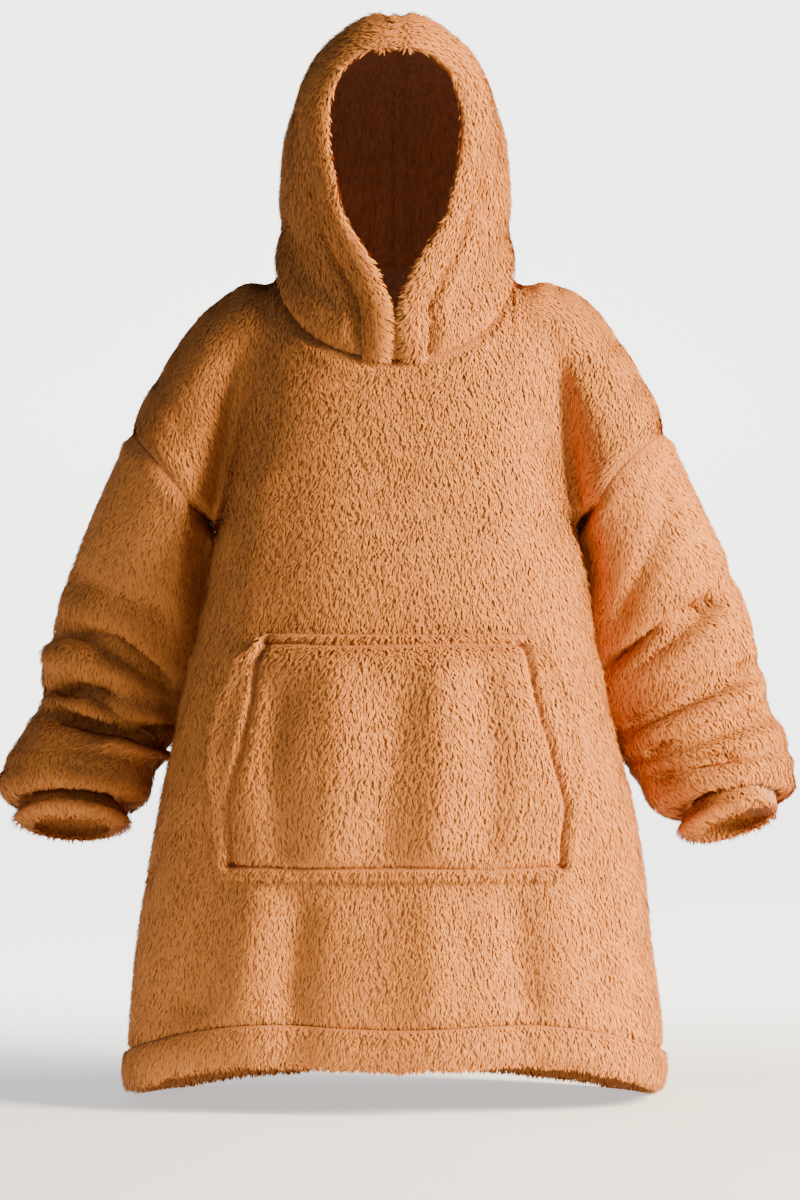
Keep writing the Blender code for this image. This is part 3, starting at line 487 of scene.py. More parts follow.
def fold_ring(side, ring, s, angle):
    """Push the sleeve's folds into a ring, towards its centre."""
    centre = ring.mean(axis=0)
    inward = centre - ring
    inward = inward / np.linalg.norm(inward, axis=1)[:, None]
    depth = np.zeros(len(ring))
    for place, slant, degrees, spread, half_width, fold_depth in SLEEVE_FOLDS[side]:
        turn = np.angle(np.exp(1j * (angle - np.radians(degrees))))
        around = np.exp(-((turn / np.radians(spread)) ** 2))
        middle = place + slant * 0.5 * (1.0 - np.cos(angle))
        depth += fold_depth * around * np.exp(-(((s - middle) / half_width) ** 2))
    return ring + inward * depth[:, None]


def edge_curves(front, along):
    """The hood's edge seam and lip at the given places, starting on the front neckline."""
    middle = (front.shape[1] - 1) // 2
    step = (front.shape[1] - 1) // (2 * HALF_COLUMNS)
    foot_seam = front[-1, middle + step]
    foot_lip = front[-1, middle] + np.array([0.0006, 0.0, 0.0])
    first = (0.0, *foot_seam, *foot_lip)
    table = (first,) + HOOD_EDGE
    seam = [read(table, EDGE_COLUMNS, name, along) for name in EDGE_COLUMNS[1:4]]
    lip = [read(table, EDGE_COLUMNS, name, along) for name in EDGE_COLUMNS[4:7]]
    return np.stack(seam, axis=-1), np.stack(lip, axis=-1)


def hood_half(front, back, refine=1):
    """Grid of the right half of the hood, rows from the neckline up, columns from edge to back."""
    middle = (front.shape[1] - 1) // 2
    step = refine
    reach = NECK_COLUMNS * refine
    front_neck = front[-1, middle + step:middle + reach + 1]
    back_neck = back[-1, middle:middle + reach][::-1]
    neck = np.concatenate([front_neck, back_neck])
    front_count = len(front_neck) - 1
    back_count = len(back_neck)
    turn_front = np.linspace(0.0, 0.5 * np.pi, front_count + 1)
    turn_back = np.linspace(0.0, 0.5 * np.pi, back_count + 1)[1:]
    rows = HOOD_ROWS * refine
    grid = []
    base = None
    for along in np.linspace(0.0, 1.0, rows + 1):
        seam, _ = edge_curves(front, along)
        width, side_y, side_z, back_y, back_z = (
            read(HOOD_CROWN, CROWN_COLUMNS, name, along) for name in CROWN_COLUMNS[1:]
        )
        x = np.concatenate([
            seam[0] + (width - seam[0]) * np.sin(turn_front),
            width * np.cos(turn_back) ** 0.9,
        ])
        part_way = turn_front / (0.5 * np.pi)
        steady = 0.35 * (1.0 - np.cos(turn_front)) + 0.65 * part_way
        y = np.concatenate([
            seam[1] + (side_y - seam[1]) * steady,
            side_y + (back_y - side_y) * np.sin(turn_back) ** 0.9,
        ])
        z = np.concatenate([
            seam[2] + (side_z - seam[2]) * (0.5 * part_way + 0.5 * ease(part_way)),
            side_z + (back_z - side_z) * ease(turn_back / (0.5 * np.pi)),
        ])
        row = np.stack([x, y, z], axis=-1)
        base = row if base is None else base
        grid.append(row + (neck - base) * (1.0 - ease(along / NECK_REACH)))
    return np.array(grid)


def mirrored(grid):
    """A grid's mirror image across the middle plane, its columns in reverse order."""
    return grid[:, ::-1] * np.array([-1.0, 1.0, 1.0])


def normals(grid, wrap=False):
    """Unit normals of a grid, from its rows and columns, to the right of a climbing row."""
    if wrap:
        along_row = np.roll(grid, -1, axis=1) - np.roll(grid, 1, axis=1)
    else:
        along_row = np.gradient(grid, axis=1)
    up = np.gradient(grid, axis=0)
    cross = np.cross(along_row, up)
    length = np.linalg.norm(cross, axis=-1, keepdims=True)
    return cross / np.maximum(length, 1e-12)


# Creases of the front and back over the solids' broad folds: half width, depth (in is positive), and
# the x and z of the points that each runs through. No two are alike, and the back has its own.
FACE_CREASES = {
    "front": (
        (0.030, 0.0110, ((-0.196, -0.620), (-0.208, -0.735), (-0.222, -0.800))),
        (0.017, 0.0070, ((-0.100, -0.690), (-0.112, -0.770), (-0.108, -0.818))),
        (0.022, -0.0050, ((-0.150, -0.680), (-0.165, -0.760), (-0.170, -0.815))),
        (0.022, -0.0060, ((0.038, -0.690), (0.044, -0.760), (0.036, -0.812))),
        (0.018, 0.0075, ((0.128, -0.690), (0.136, -0.760), (0.146, -0.812))),
        (0.019, 0.0055, ((0.206, -0.600), (0.214, -0.690), (0.226, -0.790))),
        (0.020, 0.0030, ((-0.186, -0.330), (-0.190, -0.410), (-0.200, -0.500))),
        (0.024, -0.0050, ((-0.150, -0.240), (-0.160, -0.330), (-0.172, -0.420))),
        (0.020, 0.0050, ((0.168, -0.130), (0.180, -0.210), (0.188, -0.290))),
        (0.020, 0.0025, ((0.186, -0.330), (0.196, -0.420), (0.208, -0.520))),
        (0.010, 0.0016, ((0.036, -0.262), (0.066, -0.276), (0.088, -0.270))),
        (0.010, 0.0014, ((-0.040, -0.216), (-0.010, -0.232), (0.014, -0.226))),
        (0.016, 0.0030, ((-0.150, -0.080), (-0.190, -0.110), (-0.235, -0.170))),
        (0.015, 0.0024, ((0.150, -0.060), (0.196, -0.090), (0.240, -0.150))),
    ),
    "back": (
        (0.016, 0.0040, ((-0.190, -0.560), (-0.200, -0.680), (-0.214, -0.800))),
        (0.018, 0.0035, ((-0.112, -0.480), (-0.120, -0.620), (-0.116, -0.790))),
        (0.020, -0.0035, ((-0.050, -0.560), (-0.044, -0.700), (-0.052, -0.820))),
        (0.017, 0.0030, ((0.052, -0.640), (0.060, -0.730), (0.056, -0.830))),
        (0.018, 0.0035, ((0.140, -0.500), (0.138, -0.620), (0.146, -0.780))),
        (0.016, 0.0030, ((0.212, -0.600), (0.220, -0.700), (0.232, -0.810))),
        (0.014, 0.0024, ((-0.070, -0.100), (-0.030, -0.122), (0.020, -0.118))),
        (0.014, 0.0020, ((-0.010, -0.170), (0.040, -0.184), (0.080, -0.176))),
        (0.016, 0.0030, ((0.150, -0.100), (0.190, -0.160), (0.214, -0.250))),
        (0.016, 0.0028, ((-0.160, -0.110), (-0.196, -0.180), (-0.210, -0.260))),
    ),
}

# Creases of the sleeves: half width, depth, and the place along and degrees round of their points.
SLEEVE_CREASES = {
    "right": (
        (0.030, -0.0110, ((0.040, 180.0), (0.300, 178.0), (0.520, 172.0))),
        (0.016, 0.0060, ((0.120, 45.0), (0.200, 90.0), (0.275, 125.0))),
        (0.010, 0.0085, ((0.375, 52.0), (0.378, 95.0), (0.410, 145.0))),
        (0.016, -0.0060, ((0.445, 60.0), (0.455, 100.0), (0.480, 140.0))),
        (0.010, 0.0080, ((0.560, 35.0), (0.592, 90.0), (0.628, 138.0))),
        (0.015, -0.0050, ((0.632, 50.0), (0.655, 95.0), (0.690, 130.0))),
        (0.009, 0.0070, ((0.668, 25.0), (0.710, 90.0), (0.770, 138.0))),
        (0.018, -0.0090, ((0.955, 0.0), (0.955, 359.0))),
        (0.009, 0.0060, ((0.845, 80.0), (0.870, 110.0), (0.890, 140.0))),
        (0.005, 0.0060, ((0.380, 60.0), (0.382, 95.0), (0.412, 140.0))),
        (0.004, 0.0050, ((0.566, 45.0), (0.594, 90.0), (0.628, 132.0))),
        (0.004, 0.0045, ((0.674, 35.0), (0.712, 90.0), (0.768, 132.0))),
        (0.012, 0.0070, ((0.420, 210.0), (0.450, 260.0), (0.430, 310.0))),
        (0.011, 0.0080, ((0.580, 200.0), (0.610, 265.0), (0.590, 325.0))),
        (0.014, -0.0050, ((0.510, 215.0), (0.530, 265.0), (0.510, 315.0))),
        (0.010, 0.0070, ((0.720, 205.0), (0.740, 270.0), (0.730, 330.0))),
        (0.010, 0.0060, ((0.860, 220.0), (0.850, 280.0), (0.870, 340.0))),
        (0.016, 0.0045, ((0.160, 230.0), (0.220, 270.0), (0.260, 310.0))),
    ),
    "left": (
        (0.030, -0.0110, ((0.040, 180.0), (0.300, 178.0), (0.520, 172.0))),
        (0.016, 0.0050, ((0.340, 22.0), (0.325, 70.0), (0.298, 115.0))),
        (0.010, 0.0065, ((0.500, 0.0), (0.455, 50.0), (0.425, 90.0), (0.470, 135.0))),
        (0.015, -0.0050, ((0.540, 20.0), (0.515, 60.0), (0.500, 100.0))),
        (0.010, 0.0090, ((0.625, 5.0), (0.600, 50.0), (0.572, 88.0))),
        (0.010, 0.0080, ((0.672, 50.0), (0.690, 92.0), (0.676, 125.0), (0.618, 155.0))),
        (0.016, -0.0060, ((0.640, 70.0), (0.625, 100.0), (0.600, 130.0))),
        (0.014, -0.0050, ((0.760, 110.0), (0.780, 140.0), (0.770, 170.0))),
        (0.018, -0.0100, ((0.955, 0.0), (0.955, 359.0))),
        (0.005, 0.0060, ((0.625, 10.0), (0.598, 50.0), (0.575, 84.0))),
        (0.004, 0.0050, ((0.688, 60.0), (0.694, 92.0), (0.680, 122.0))),
        (0.004, 0.0040, ((0.455, 52.0), (0.428, 90.0), (0.470, 130.0))),
        (0.012, 0.0065, ((0.400, 215.0), (0.440, 265.0), (0.430, 320.0))),
        (0.011, 0.0085, ((0.560, 205.0), (0.600, 260.0), (0.600, 330.0))),
        (0.014, -0.0050, ((0.490, 220.0), (0.520, 268.0), (0.515, 318.0))),
        (0.010, 0.0070, ((0.700, 200.0), (0.735, 262.0), (0.720, 335.0))),
        (0.010, 0.0060, ((0.850, 215.0), (0.870, 275.0), (0.860, 338.0))),
        (0.016, 0.0040, ((0.150, 235.0), (0.210, 268.0), (0.270, 305.0))),
    ),
}
SLEEVE_LENGTH = 0.44
SLEEVE_DEPTH = 1.45
SLEEVE_RADIUS = 0.085

# Creases of the pocket in x and z, and of the right half of the hood by column and row, 0 to 1.
POCKET_CREASES = (
    (0.019, 0.0085, ((-0.118, -0.470), (-0.126, -0.540), (-0.120, -0.620))),
    (0.024, -0.0060, ((-0.060, -0.450), (-0.058, -0.540), (-0.070, -0.630))),
    (0.022, 0.0050, ((0.000, -0.480), (-0.004, -0.560), (-0.012, -0.630))),
    (0.021, -0.0065, ((0.046, -0.440), (0.050, -0.540), (0.042, -0.630))),
    (0.019, 0.0080, ((0.092, -0.450), (0.100, -0.540), (0.096, -0.620))),
)
# Stitch lines of the pocket: along the turned mouth edges, under the top and above the foot seam.
POCKET_LINES = (
    (0.0036, 0.0074, ((-0.1341, -0.4064), (-0.1437, -0.4709), (-0.1553, -0.5302), (-0.1701, -0.5788),
                      (-0.1735, -0.6434))),
    (0.0036, 0.0070, ((0.1314, -0.4117), (0.1420, -0.4709), (0.1631, -0.5460), (0.1758, -0.5788),
                      (0.1765, -0.6465))),
    (0.0032, 0.0056, ((-0.1330, -0.4090), (-0.0500, -0.4110), (0.0400, -0.4095), (0.1330, -0.4100))),
    (0.0032, 0.0060, ((-0.1760, -0.6440), (-0.0900, -0.6465), (0.0100, -0.6450), (0.1000, -0.6475),
                      (0.1780, -0.6450))),
)
HOOD_CREASES = (
    (0.060, 0.0040, ((0.10, 0.16), (0.34, 0.22), (0.52, 0.20))),
    (0.055, 0.0035, ((0.08, 0.42), (0.30, 0.50), (0.44, 0.58))),
    (0.060, 0.0030, ((0.60, 0.30), (0.78, 0.36), (0.92, 0.32))),
    (0.055, -0.0025, ((0.20, 0.70), (0.42, 0.76), (0.62, 0.74))),
)

# Where the pile is sewn down: how deep and how wide the groove of a seam is.
SEAM_SINK = 0.0034
SEAM_REACH = 0.0065
SEAM_PUFF = 0.0014
FACE_DENSITY = {"front": 1.0, "back": 0.94}
SEWN_ANGLE = 0.30
POCKET_WELT = 0.0046
SHOULDER_FULLNESS = 0.0050
HOOD_FULLNESS = 0.0040
CREASE_FADE = 0.03

# Shoulder and hood parting: how far the lying pile turns out to the arm, and over the top seam.
SHOULDER_TURN = 2.4
PARTING_LEAN = 2.0
PARTING_REACH = 0.016

# Tufts: how deep they root, how their directions sway in clumps and broad waves, and their strays.
ROOT_DEPTH = 0.0008
CLUMP_SIZE, CLUMP_SWAY = 0.0105, 0.34
BROAD_SIZE, BROAD_SWAY = 0.05, 0.22
TUFT_SWAY = 0.16
LIFT_SIZE, LIFT_SWAY = 0.008, 0.28
STRAY_ABOVE, STRAY_LIFT = 0.97, 0.7
SIDE_TURN = 0.20

# Light, in metres and watts a light, and the cove that the garment stands in.
KEY_COLOUR = (1.0, 0.84, 0.58)
FILL_COLOUR = (1.0, 1.0, 1.0)
AIR_COLOUR = (0.80, 0.90, 1.0, 1.0)
AIR_STRENGTH = 0.30
COVE_GLOW = 3.0
FLOOR_GLOW_SHARE = 0.22
GLOW_FROM, GLOW_TO = 0.2, 1.4
GROUND_GAP = 0.004
COVE_FRONT, COVE_BEND, COVE_RADIUS = -0.95, 9.4, 1.2
COVE_HALF_WIDTH, COVE_HEIGHT = 1.6, 3.2


def linear(hex_colour):
    """Linear colour of an sRGB hex value: the sRGB curve undone, channel by channel."""
    value = np.array([int(hex_colour[i:i + 2], 16) for i in (1, 3, 5)]) / 255.0
    low, high = value / 12.92, ((value + 0.055) / 1.055) ** 2.4
    return tuple(float(c) for c in np.where(value <= 0.04045, low, high))


class PlushSizes(bpy.types.PropertyGroup):
    inset: FloatProperty(
        name="Shell inset", description="How far the knitted shell lies inside the solid's outside",
        default=0.0032, unit="LENGTH")
    cloth: FloatProperty(
        name="Cloth", description="Thickness of the knitted backing", default=0.0024, unit="LENGTH")
    pile_length: FloatProperty(
        name="Pile length", description="Length of a tuft from root to tip", default=0.0085,
        unit="LENGTH")
    pile_width: FloatProperty(
        name="Tuft width", description="Width of a tuft at its middle", default=0.0023,
        unit="LENGTH")
    pile_spacing: FloatProperty(
        name="Tuft spacing", description="Mean distance between tufts", default=0.00232,
        unit="LENGTH")
    pile_rise: FloatProperty(
        name="Pile rise", description="Height of a tuft's tip over the shell", default=0.0030,
        unit="LENGTH")


class PlushColours(bpy.types.PropertyGroup):
    tip: FloatVectorProperty(
        name="Tips", description="Pile where the light catches it", subtype="COLOR", size=3,
        default=linear("#e0914a"))
    middle: FloatVectorProperty(
        name="Middle", description="Pile halfway down", subtype="COLOR", size=3,
        default=linear("#bf763a"))
    # Painted shade: the pile's darker colour at its roots stands in for the shade deep between the
    # tufts.
    root: FloatVectorProperty(
        name="Roots", description="Pile between the tufts", subtype="COLOR", size=3,
        default=linear("#a06238"))
    # Partly painted shade: the knitted ground's own colour, made darker for where it shows deep between
    # the tufts.
    backing: FloatVectorProperty(
        name="Backing", description="Knitted ground under the pile", subtype="COLOR", size=3,
        default=linear("#ac6a38"))
    wrong_side: FloatVectorProperty(
        name="Wrong side", description="Brushed inside of the cloth", subtype="COLOR", size=3,
        default=linear("#bd8a6a"))
    floor: FloatVectorProperty(
        name="Floor", description="Studio floor and backdrop", subtype="COLOR", size=3,
        default=linear("#f4f3f1"))


class StageSettings(bpy.types.PropertyGroup):
    key_power: FloatProperty(
        name="Key light", description="Soft light from the viewer's upper right", default=1420.0,
        unit="POWER")
    fill_power: FloatProperty(
        name="Fill light", description="Wide light from the viewer's left", default=12.0,
        unit="POWER")
    distance: FloatProperty(
        name="Camera distance", description="From the camera to the garment's middle plane",
        default=5.0, unit="LENGTH")
    view_height: FloatProperty(
        name="View height", description="Height of the picture at the middle plane", default=1.32,
        unit="LENGTH")


def polyline_trough(a, b, points, half_width):
    """Bell-shaped strip round a bent line: exp of minus the squared distance over the half width."""
    nearest = np.full(np.broadcast(a, b).shape, 1e9)
    for (a0, b0), (a1, b1) in zip(points, points[1:]):
        along = (a1 - a0, b1 - b0)
        size = along[0] ** 2 + along[1] ** 2
        t = np.clip(((a - a0) * along[0] + (b - b0) * along[1]) / size, 0.0, 1.0)
        nearest = np.minimum(nearest, np.hypot(a - a0 - t * along[0], b - b0 - t * along[1]))
    return np.exp(-((nearest / half_width) ** 2))


def crease_depth(a, b, table):
    """Sum of the table's troughs and ridges at the points a, b."""
    depth = np.zeros(np.broadcast(a, b).shape)
    for half_width, deep, points in table:
        depth = depth + deep * polyline_trough(a, b, points, half_width)
    return depth


def sleeve_crease_depth(side, rows, columns):
    """The same on a sleeve, in metres along it and round it, so that a crease keeps its width."""
    along = np.linspace(0.0, 1.0, rows)[:, None] * SLEEVE_LENGTH
    degrees = np.linspace(0.0, 360.0, columns + 1)[None, :-1]
    depth = np.zeros((rows, columns))
    for half_width, deep, points in SLEEVE_CREASES[side]:
        centre = np.mean([p[1] for p in points])
        turn = (degrees - centre + 180.0) % 360.0 - 180.0
        line = [(p[0] * SLEEVE_LENGTH, np.radians(p[1] - centre) * SLEEVE_RADIUS) for p in points]
        round_it = np.radians(turn) * SLEEVE_RADIUS
        depth += SLEEVE_DEPTH * deep * polyline_trough(along, round_it, line, half_width)
    return depth


def travelled(grid, axis):
    """Length along a grid's lines from its first point, as the running sum of the steps."""
    step = np.linalg.norm(np.diff(grid, axis=axis), axis=-1)
    start = np.zeros_like(step[:1] if axis == 0 else step[:, :1])
    return np.concatenate([start, np.cumsum(step, axis=axis)], axis=axis)


def edge_distance(grid, wrap):
    """Distance to the nearest sewn edge, measured along the grid's own lines."""
    up = travelled(grid, 0)
    nearest = np.minimum(up, up[-1:] - up)
    if not wrap:
        across = travelled(grid, 1)
        nearest = np.minimum(nearest, np.minimum(across, across[:, -1:] - across))
    return nearest


def seam_sink(distance, deep=SEAM_SINK, reach=SEAM_REACH):
    """Groove at a seam: a sharp bell that sinks, with a low swelling just outside it."""
    groove = deep * np.exp(-((distance / reach) ** 1.4))
    return groove - SEAM_PUFF * np.exp(-(((distance - 2.4 * reach) / reach) ** 2))


def wall_directions(front, back, hoods, sleeves):
    """Outward directions of every wall, with one common direction along every seam."""
    front_out, back_out = normals(front), -normals(back)
    hood_out = {side: normals(hoods[side]) for side in hoods}
    sleeve_out = {"right": normals(sleeves["right"], True), "left": -normals(sleeves["left"], True)}
    rows = ARMHOLE_ROWS * REFINE
    middle, neck = HALF_COLUMNS * REFINE, NECK_COLUMNS * REFINE
    for side, column in (("left", 0), ("right", -1)):
        share(front_out[:-rows, column], back_out[:-rows, column])
        ring = sleeve_out[side][0]
        front_edge = front_out[-rows - 1:, column][::-1]
        back_edge = back_out[-rows - 1:, column]
        share(front_edge[1:-1], ring[1:rows])
        share(back_edge[1:-1], ring[rows + 1:])
        share(front_out[-1, column], back_out[-1, column], ring[0])
        share(front_out[-rows - 1, column], back_out[-rows - 1, column], ring[rows])
    share(front_out[-1, :middle - neck], back_out[-1, :middle - neck])
    share(front_out[-1, middle + neck + 1:], back_out[-1, middle + neck + 1:])
    for side, step in (("right", 1), ("left", -1)):
        bottom = hood_out[side][0] if step > 0 else hood_out[side][0][::-1]
        count = neck - REFINE
        front_line = front_out[-1, middle + step * REFINE:middle + step * neck:step]
        back_line = back_out[-1, middle + step * (neck - 1)::-step][:neck - 1]
        share(front_line, bottom[:count])
        share(back_line, bottom[count + 1:-1])
        share(front_out[-1, middle + step * neck], back_out[-1, middle + step * neck],
              bottom[count])
    share(back_out[-1, middle], hood_out["right"][0, -1], hood_out["left"][0, 0])
    share(hood_out["right"][1:, -1], hood_out["left"][1:, 0])
    share(hood_out["right"][-1, :-1], hood_out["left"][-1, 1:][::-1])
    return front_out, back_out, hood_out, sleeve_out


def share(*slices):
    """Give the seam points of neighbouring pieces one common wall direction."""
    total = sum(part.copy() for part in slices)
    total = total / np.linalg.norm(total, axis=-1, keepdims=True)
    for part in slices:
        part[...] = total


def section_angles():
    """Angles round a turned strip's section, from one sewn edge to the other; 0 is at the seam."""
    return np.linspace(SEWN_ANGLE, 2.0 * np.pi - SEWN_ANGLE, BAND_SIDES + 1)


def band_grid(seam, lip, outward, half_thickness, puff, trim):
    """Rounded sections between two edges of a turned band, swelling outwards in their middle."""
    angle = section_angles()
    half = 0.5 * (seam - lip)
    length = np.linalg.norm(half, axis=-1, keepdims=True)
    half = half * (1.0 - trim / length)
    rise = half_thickness * np.sin(angle) + puff * np.sin(angle) ** 2
    centre = 0.5 * (seam + lip) - outward * 0.5 * WALL
    return (
        centre[:, None]
        + half[:, None] * np.cos(angle)[None, :, None]
        + outward[:, None] * rise[None, :, None]
    )


def mitre(rings, seam, wall_out, beyond):
    """Press ring points back behind the rim of the wall that the band is sewn to."""
    path = np.gradient(seam, axis=0)
    rim = np.cross(path, wall_out)
    rim = rim / np.linalg.norm(rim, axis=-1, keepdims=True)
    rim = rim * np.sign(np.sum(rim * beyond, axis=-1, keepdims=True))
    past = np.sum((rings - seam[:, None]) * rim[:, None], axis=-1) + BAND_GAP
    return rings - np.maximum(past, 0.0)[..., None] * rim[:, None]


def across_band(seam, lip):
    """Unit directions square to a band, away from the hollow that it edges."""
    out = np.cross(np.gradient(0.5 * (seam + lip), axis=0), seam - lip)
    return out / np.linalg.norm(out, axis=-1, keepdims=True)


FORMS = {}


def forms():
    """Grids and outward directions of every wall at the fine division, worked out once."""
    if not FORMS:
        front, back = whole_face("front", REFINE), whole_face("back", REFINE)
        hoods = {
            "right": hood_half(front, back, REFINE),
            "left": mirrored(hood_half(mirrored(front), mirrored(back), REFINE)),
        }
        sleeves = {
            side: sleeve_grid(side, front, back, SLEEVE_ROWS * REFINE + 24)
            for side in ("left", "right")
        }
        outs = wall_directions(front, back, hoods, sleeves)
        FORMS.update(front=front, back=back, hoods=hoods, sleeves=sleeves, front_out=outs[0],
                     back_out=outs[1], hood_out=outs[2], sleeve_out=outs[3])
    return FORMS


def grid_quads(rows, columns, wrap=True, start=0):
    """Point numbers of a grid's quads, row by row; a wrapped grid joins its last column to its first."""
    i = np.arange(rows - 1)[:, None] * columns
    j = np.arange(columns if wrap else columns - 1)[None, :]
    k = (j + 1) % columns
    quads = np.stack([i + j, i + k, i + columns + k, i + columns + j], axis=-1)
    return quads.reshape(-1, 4) + start


def border(rows, columns):
    """Point numbers once round the border of a grid."""
    last = (rows - 1) * columns
    return np.concatenate([
        np.arange(columns), np.arange(1, rows) * columns + columns - 1,
        last + np.arange(columns - 2, -1, -1), np.arange(rows - 2, 0, -1) * columns,
    ])


def add_mesh(name, points, faces, materials, inner_from=None, inner_to=None):
    """One closed piece from points and faces; faces from inner_from to inner_to get material 2."""
    mesh = bpy.data.meshes.new(name)
    mesh.from_pydata(points.tolist(), [], faces)
    for material in materials:
        mesh.materials.append(material)
    if inner_from is not None:
        index = np.zeros(len(mesh.polygons), dtype=np.int32)
        index[inner_from:inner_to] = 1
        mesh.polygons.foreach_set("material_index", index)
    shell = bmesh.new()
    shell.from_mesh(mesh)
    bmesh.ops.remove_doubles(shell, verts=shell.verts, dist=0.00001)
    bmesh.ops.recalc_face_normals(shell, faces=shell.faces)
    shell.to_mesh(mesh)
    shell.free()
    mesh.shade_smooth()
    piece = bpy.data.objects.new(name, mesh)
    bpy.context.scene.collection.objects.link(piece)
    return piece


def add_shell(name, outer, inner, wrap, materials):
    """A closed thin wall: the outer grid, the inner grid, and rim quads between their borders."""
    rows, columns = outer.shape[:2]
    count = rows * columns
    points = np.concatenate([outer.reshape(-1, 3), inner.reshape(-1, 3)])
    outside = grid_quads(rows, columns, wrap)
    inside = grid_quads(rows, columns, wrap, count)[:, ::-1]
    if wrap:
        rings = [np.arange(columns), (rows - 1) * columns + np.arange(columns)[::-1]]
    else:
        rings = [border(rows, columns)]
    rims = [
        np.stack([np.roll(r, -1), r, r + count, np.roll(r, -1) + count], axis=-1) for r in rings
    ]
    faces = np.concatenate([outside, inside] + rims).tolist()
    return add_mesh(name, points, faces, materials, len(outside), len(outside) + len(inside))


def ripple(points, size, seed, waves=14):
    """Soft noise from -1 to 1: a sum of sine waves of random direction, about one size long."""
    random = np.random.default_rng(seed)
    direction = random.normal(size=(waves, 3))
    direction /= np.linalg.norm(direction, axis=1, keepdims=True)
    pace = random.uniform(0.6, 1.6, size=waves) * 2.0 * np.pi / size
    phase = random.uniform(0.0, 2.0 * np.pi, size=waves)
    total = np.zeros(points.shape[:-1])
    for k in range(waves):
        total += np.sin(points @ direction[k] * pace[k] + phase[k])
    return total / np.sqrt(0.5 * waves) * 0.6


def unit(vectors):
    """Vectors of length one."""
    return vectors / np.maximum(np.linalg.norm(vectors, axis=-1, keepdims=True), 1e-9)


def add_pile(name, grid, out, nap, material, sizes, seed, keep=None, stretch=None, density=1.0):
    """Tufts over a grid: each a slim kite of four points, its root in the shell and its tip raised.

    Places: the quads' areas are summed in order, equal steps of that sum pick a quad, and two
    constants of an even spread place the tuft inside it. A kite is a root, a wider pair and a tip,
    along the nap, which wanders by soft noise so that neighbouring tips gather in clumps.
    """
    keep = np.ones(grid.shape[:2]) if keep is None else keep
    stretch = np.ones(grid.shape[:2]) if stretch is None else stretch
    corners = [np.s_[:-1, :-1], np.s_[:-1, 1:], np.s_[1:, 1:], np.s_[1:, :-1]]
    a, b, c, d = (grid[s] for s in corners)
    area = 0.5 * np.linalg.norm(np.cross(c - a, d - b), axis=-1)
    area = area * np.mean([keep[s] for s in corners], axis=0)
    running = np.cumsum(area.ravel())
    random = np.random.default_rng(seed)
    count = int(running[-1] * density / sizes.pile_spacing**2)
    place = (np.arange(count) + random.uniform(0.0, 1.0, count)) / count * running[-1]
    quad = np.minimum(np.searchsorted(running, place), len(running) - 1)
    order = np.arange(count)
    s = (order * 0.7548776662 + random.uniform(0.0, 0.12, count)) % 1.0
    t = (order * 0.5698402910 + random.uniform(0.0, 0.12, count)) % 1.0
    weights = ((1 - s) * (1 - t), s * (1 - t), s * t, (1 - s) * t)

    def at(values):
        flat = [values[k].reshape(-1, *values.shape[2:])[quad] for k in corners]
        shape = (-1,) + (1,) * (values.ndim - 2)
        return sum(w.reshape(shape) * f for w, f in zip(weights, flat))

    root, up, along, scale = at(grid), unit(at(out)), at(nap), at(stretch)
    side_sway = ripple(root, CLUMP_SIZE, seed + 1) * CLUMP_SWAY
    side_sway = side_sway + ripple(root, BROAD_SIZE, seed + 2) * BROAD_SWAY
    side_sway += random.normal(0.0, TUFT_SWAY, count)
    along = unit(along - up * np.sum(along * up, axis=-1, keepdims=True))
    side = unit(np.cross(along, up))
    along = unit(along + side * side_sway[:, None])
    side = unit(np.cross(along, up))
    lift = 1.0 + LIFT_SWAY * ripple(root, LIFT_SIZE, seed + 3) + random.normal(0.0, TUFT_SWAY, count)
    stray = random.uniform(0.0, 1.0, count) > STRAY_ABOVE
    lift = np.where(stray, lift + STRAY_LIFT, lift)[:, None] * scale[:, None]
    length = sizes.pile_length * random.uniform(0.72, 1.28, count)[:, None] * scale[:, None]
    width = 0.5 * sizes.pile_width * random.uniform(0.75, 1.25, count)[:, None]
    rise = sizes.pile_rise * lift
    root = root - up * ROOT_DEPTH
    middle = root + along * length * 0.42 + up * rise * 0.66
    tip = root + along * length + up * rise
    points = np.stack([root, middle - side * width, middle + side * width, tip], axis=1)
    lean = side * SIDE_TURN
    turned = np.stack([up, up - lean, up + lean, up + along * SIDE_TURN], axis=1)
    tone = 0.5 + 0.15 * ripple(root, 0.012, seed + 4) + 0.10 * ripple(root, 0.11, seed + 5)
    tone = np.clip(tone + random.normal(0.0, 0.10, count), 0.03, 0.97)
    return leaf_mesh(name, points, unit(turned), tone, material)


def leaf_mesh(name, points, turned, tone, material):
    """The tufts' mesh: two triangles each, with the ground's own turning of their normals.

    The UV map carries the tone across and root to tip upwards, so the colour needs nothing else.
    """
    count = len(points)
    mesh = bpy.data.meshes.new(name)
    mesh.vertices.add(count * 4)
    mesh.vertices.foreach_set("co", points.astype(np.float32).ravel())
    corner = np.array([0, 2, 1, 1, 2, 3])
    loops = (np.arange(count)[:, None] * 4 + corner[None, :]).ravel()
    mesh.loops.add(len(loops))
    mesh.loops.foreach_set("vertex_index", loops.astype(np.int32))
    mesh.polygons.add(count * 2)
    mesh.polygons.foreach_set("loop_start", np.arange(0, count * 6, 3, dtype=np.int32))
    mesh.update(calc_edges=True)
    mesh.materials.append(material)
    uv = np.zeros((count, 6, 2), dtype=np.float32)
    uv[:, :, 0] = tone[:, None] + np.array([0.0, 0.01, -0.01, -0.01, 0.01, 0.0])[None, :]
    uv[:, :, 1] = np.array([0.04, 0.48, 0.48, 0.48, 0.48, 0.96])[None, :]
    layer = mesh.uv_layers.new(name="OFBake")
    layer.data.foreach_set("uv", uv.ravel())
    mesh.shade_smooth()
    mesh.normals_split_custom_set_from_vertices(turned.reshape(-1, 3).astype(np.float32))
    piece = bpy.data.objects.new(name, mesh)
    bpy.context.scene.collection.objects.link(piece)
    return piece


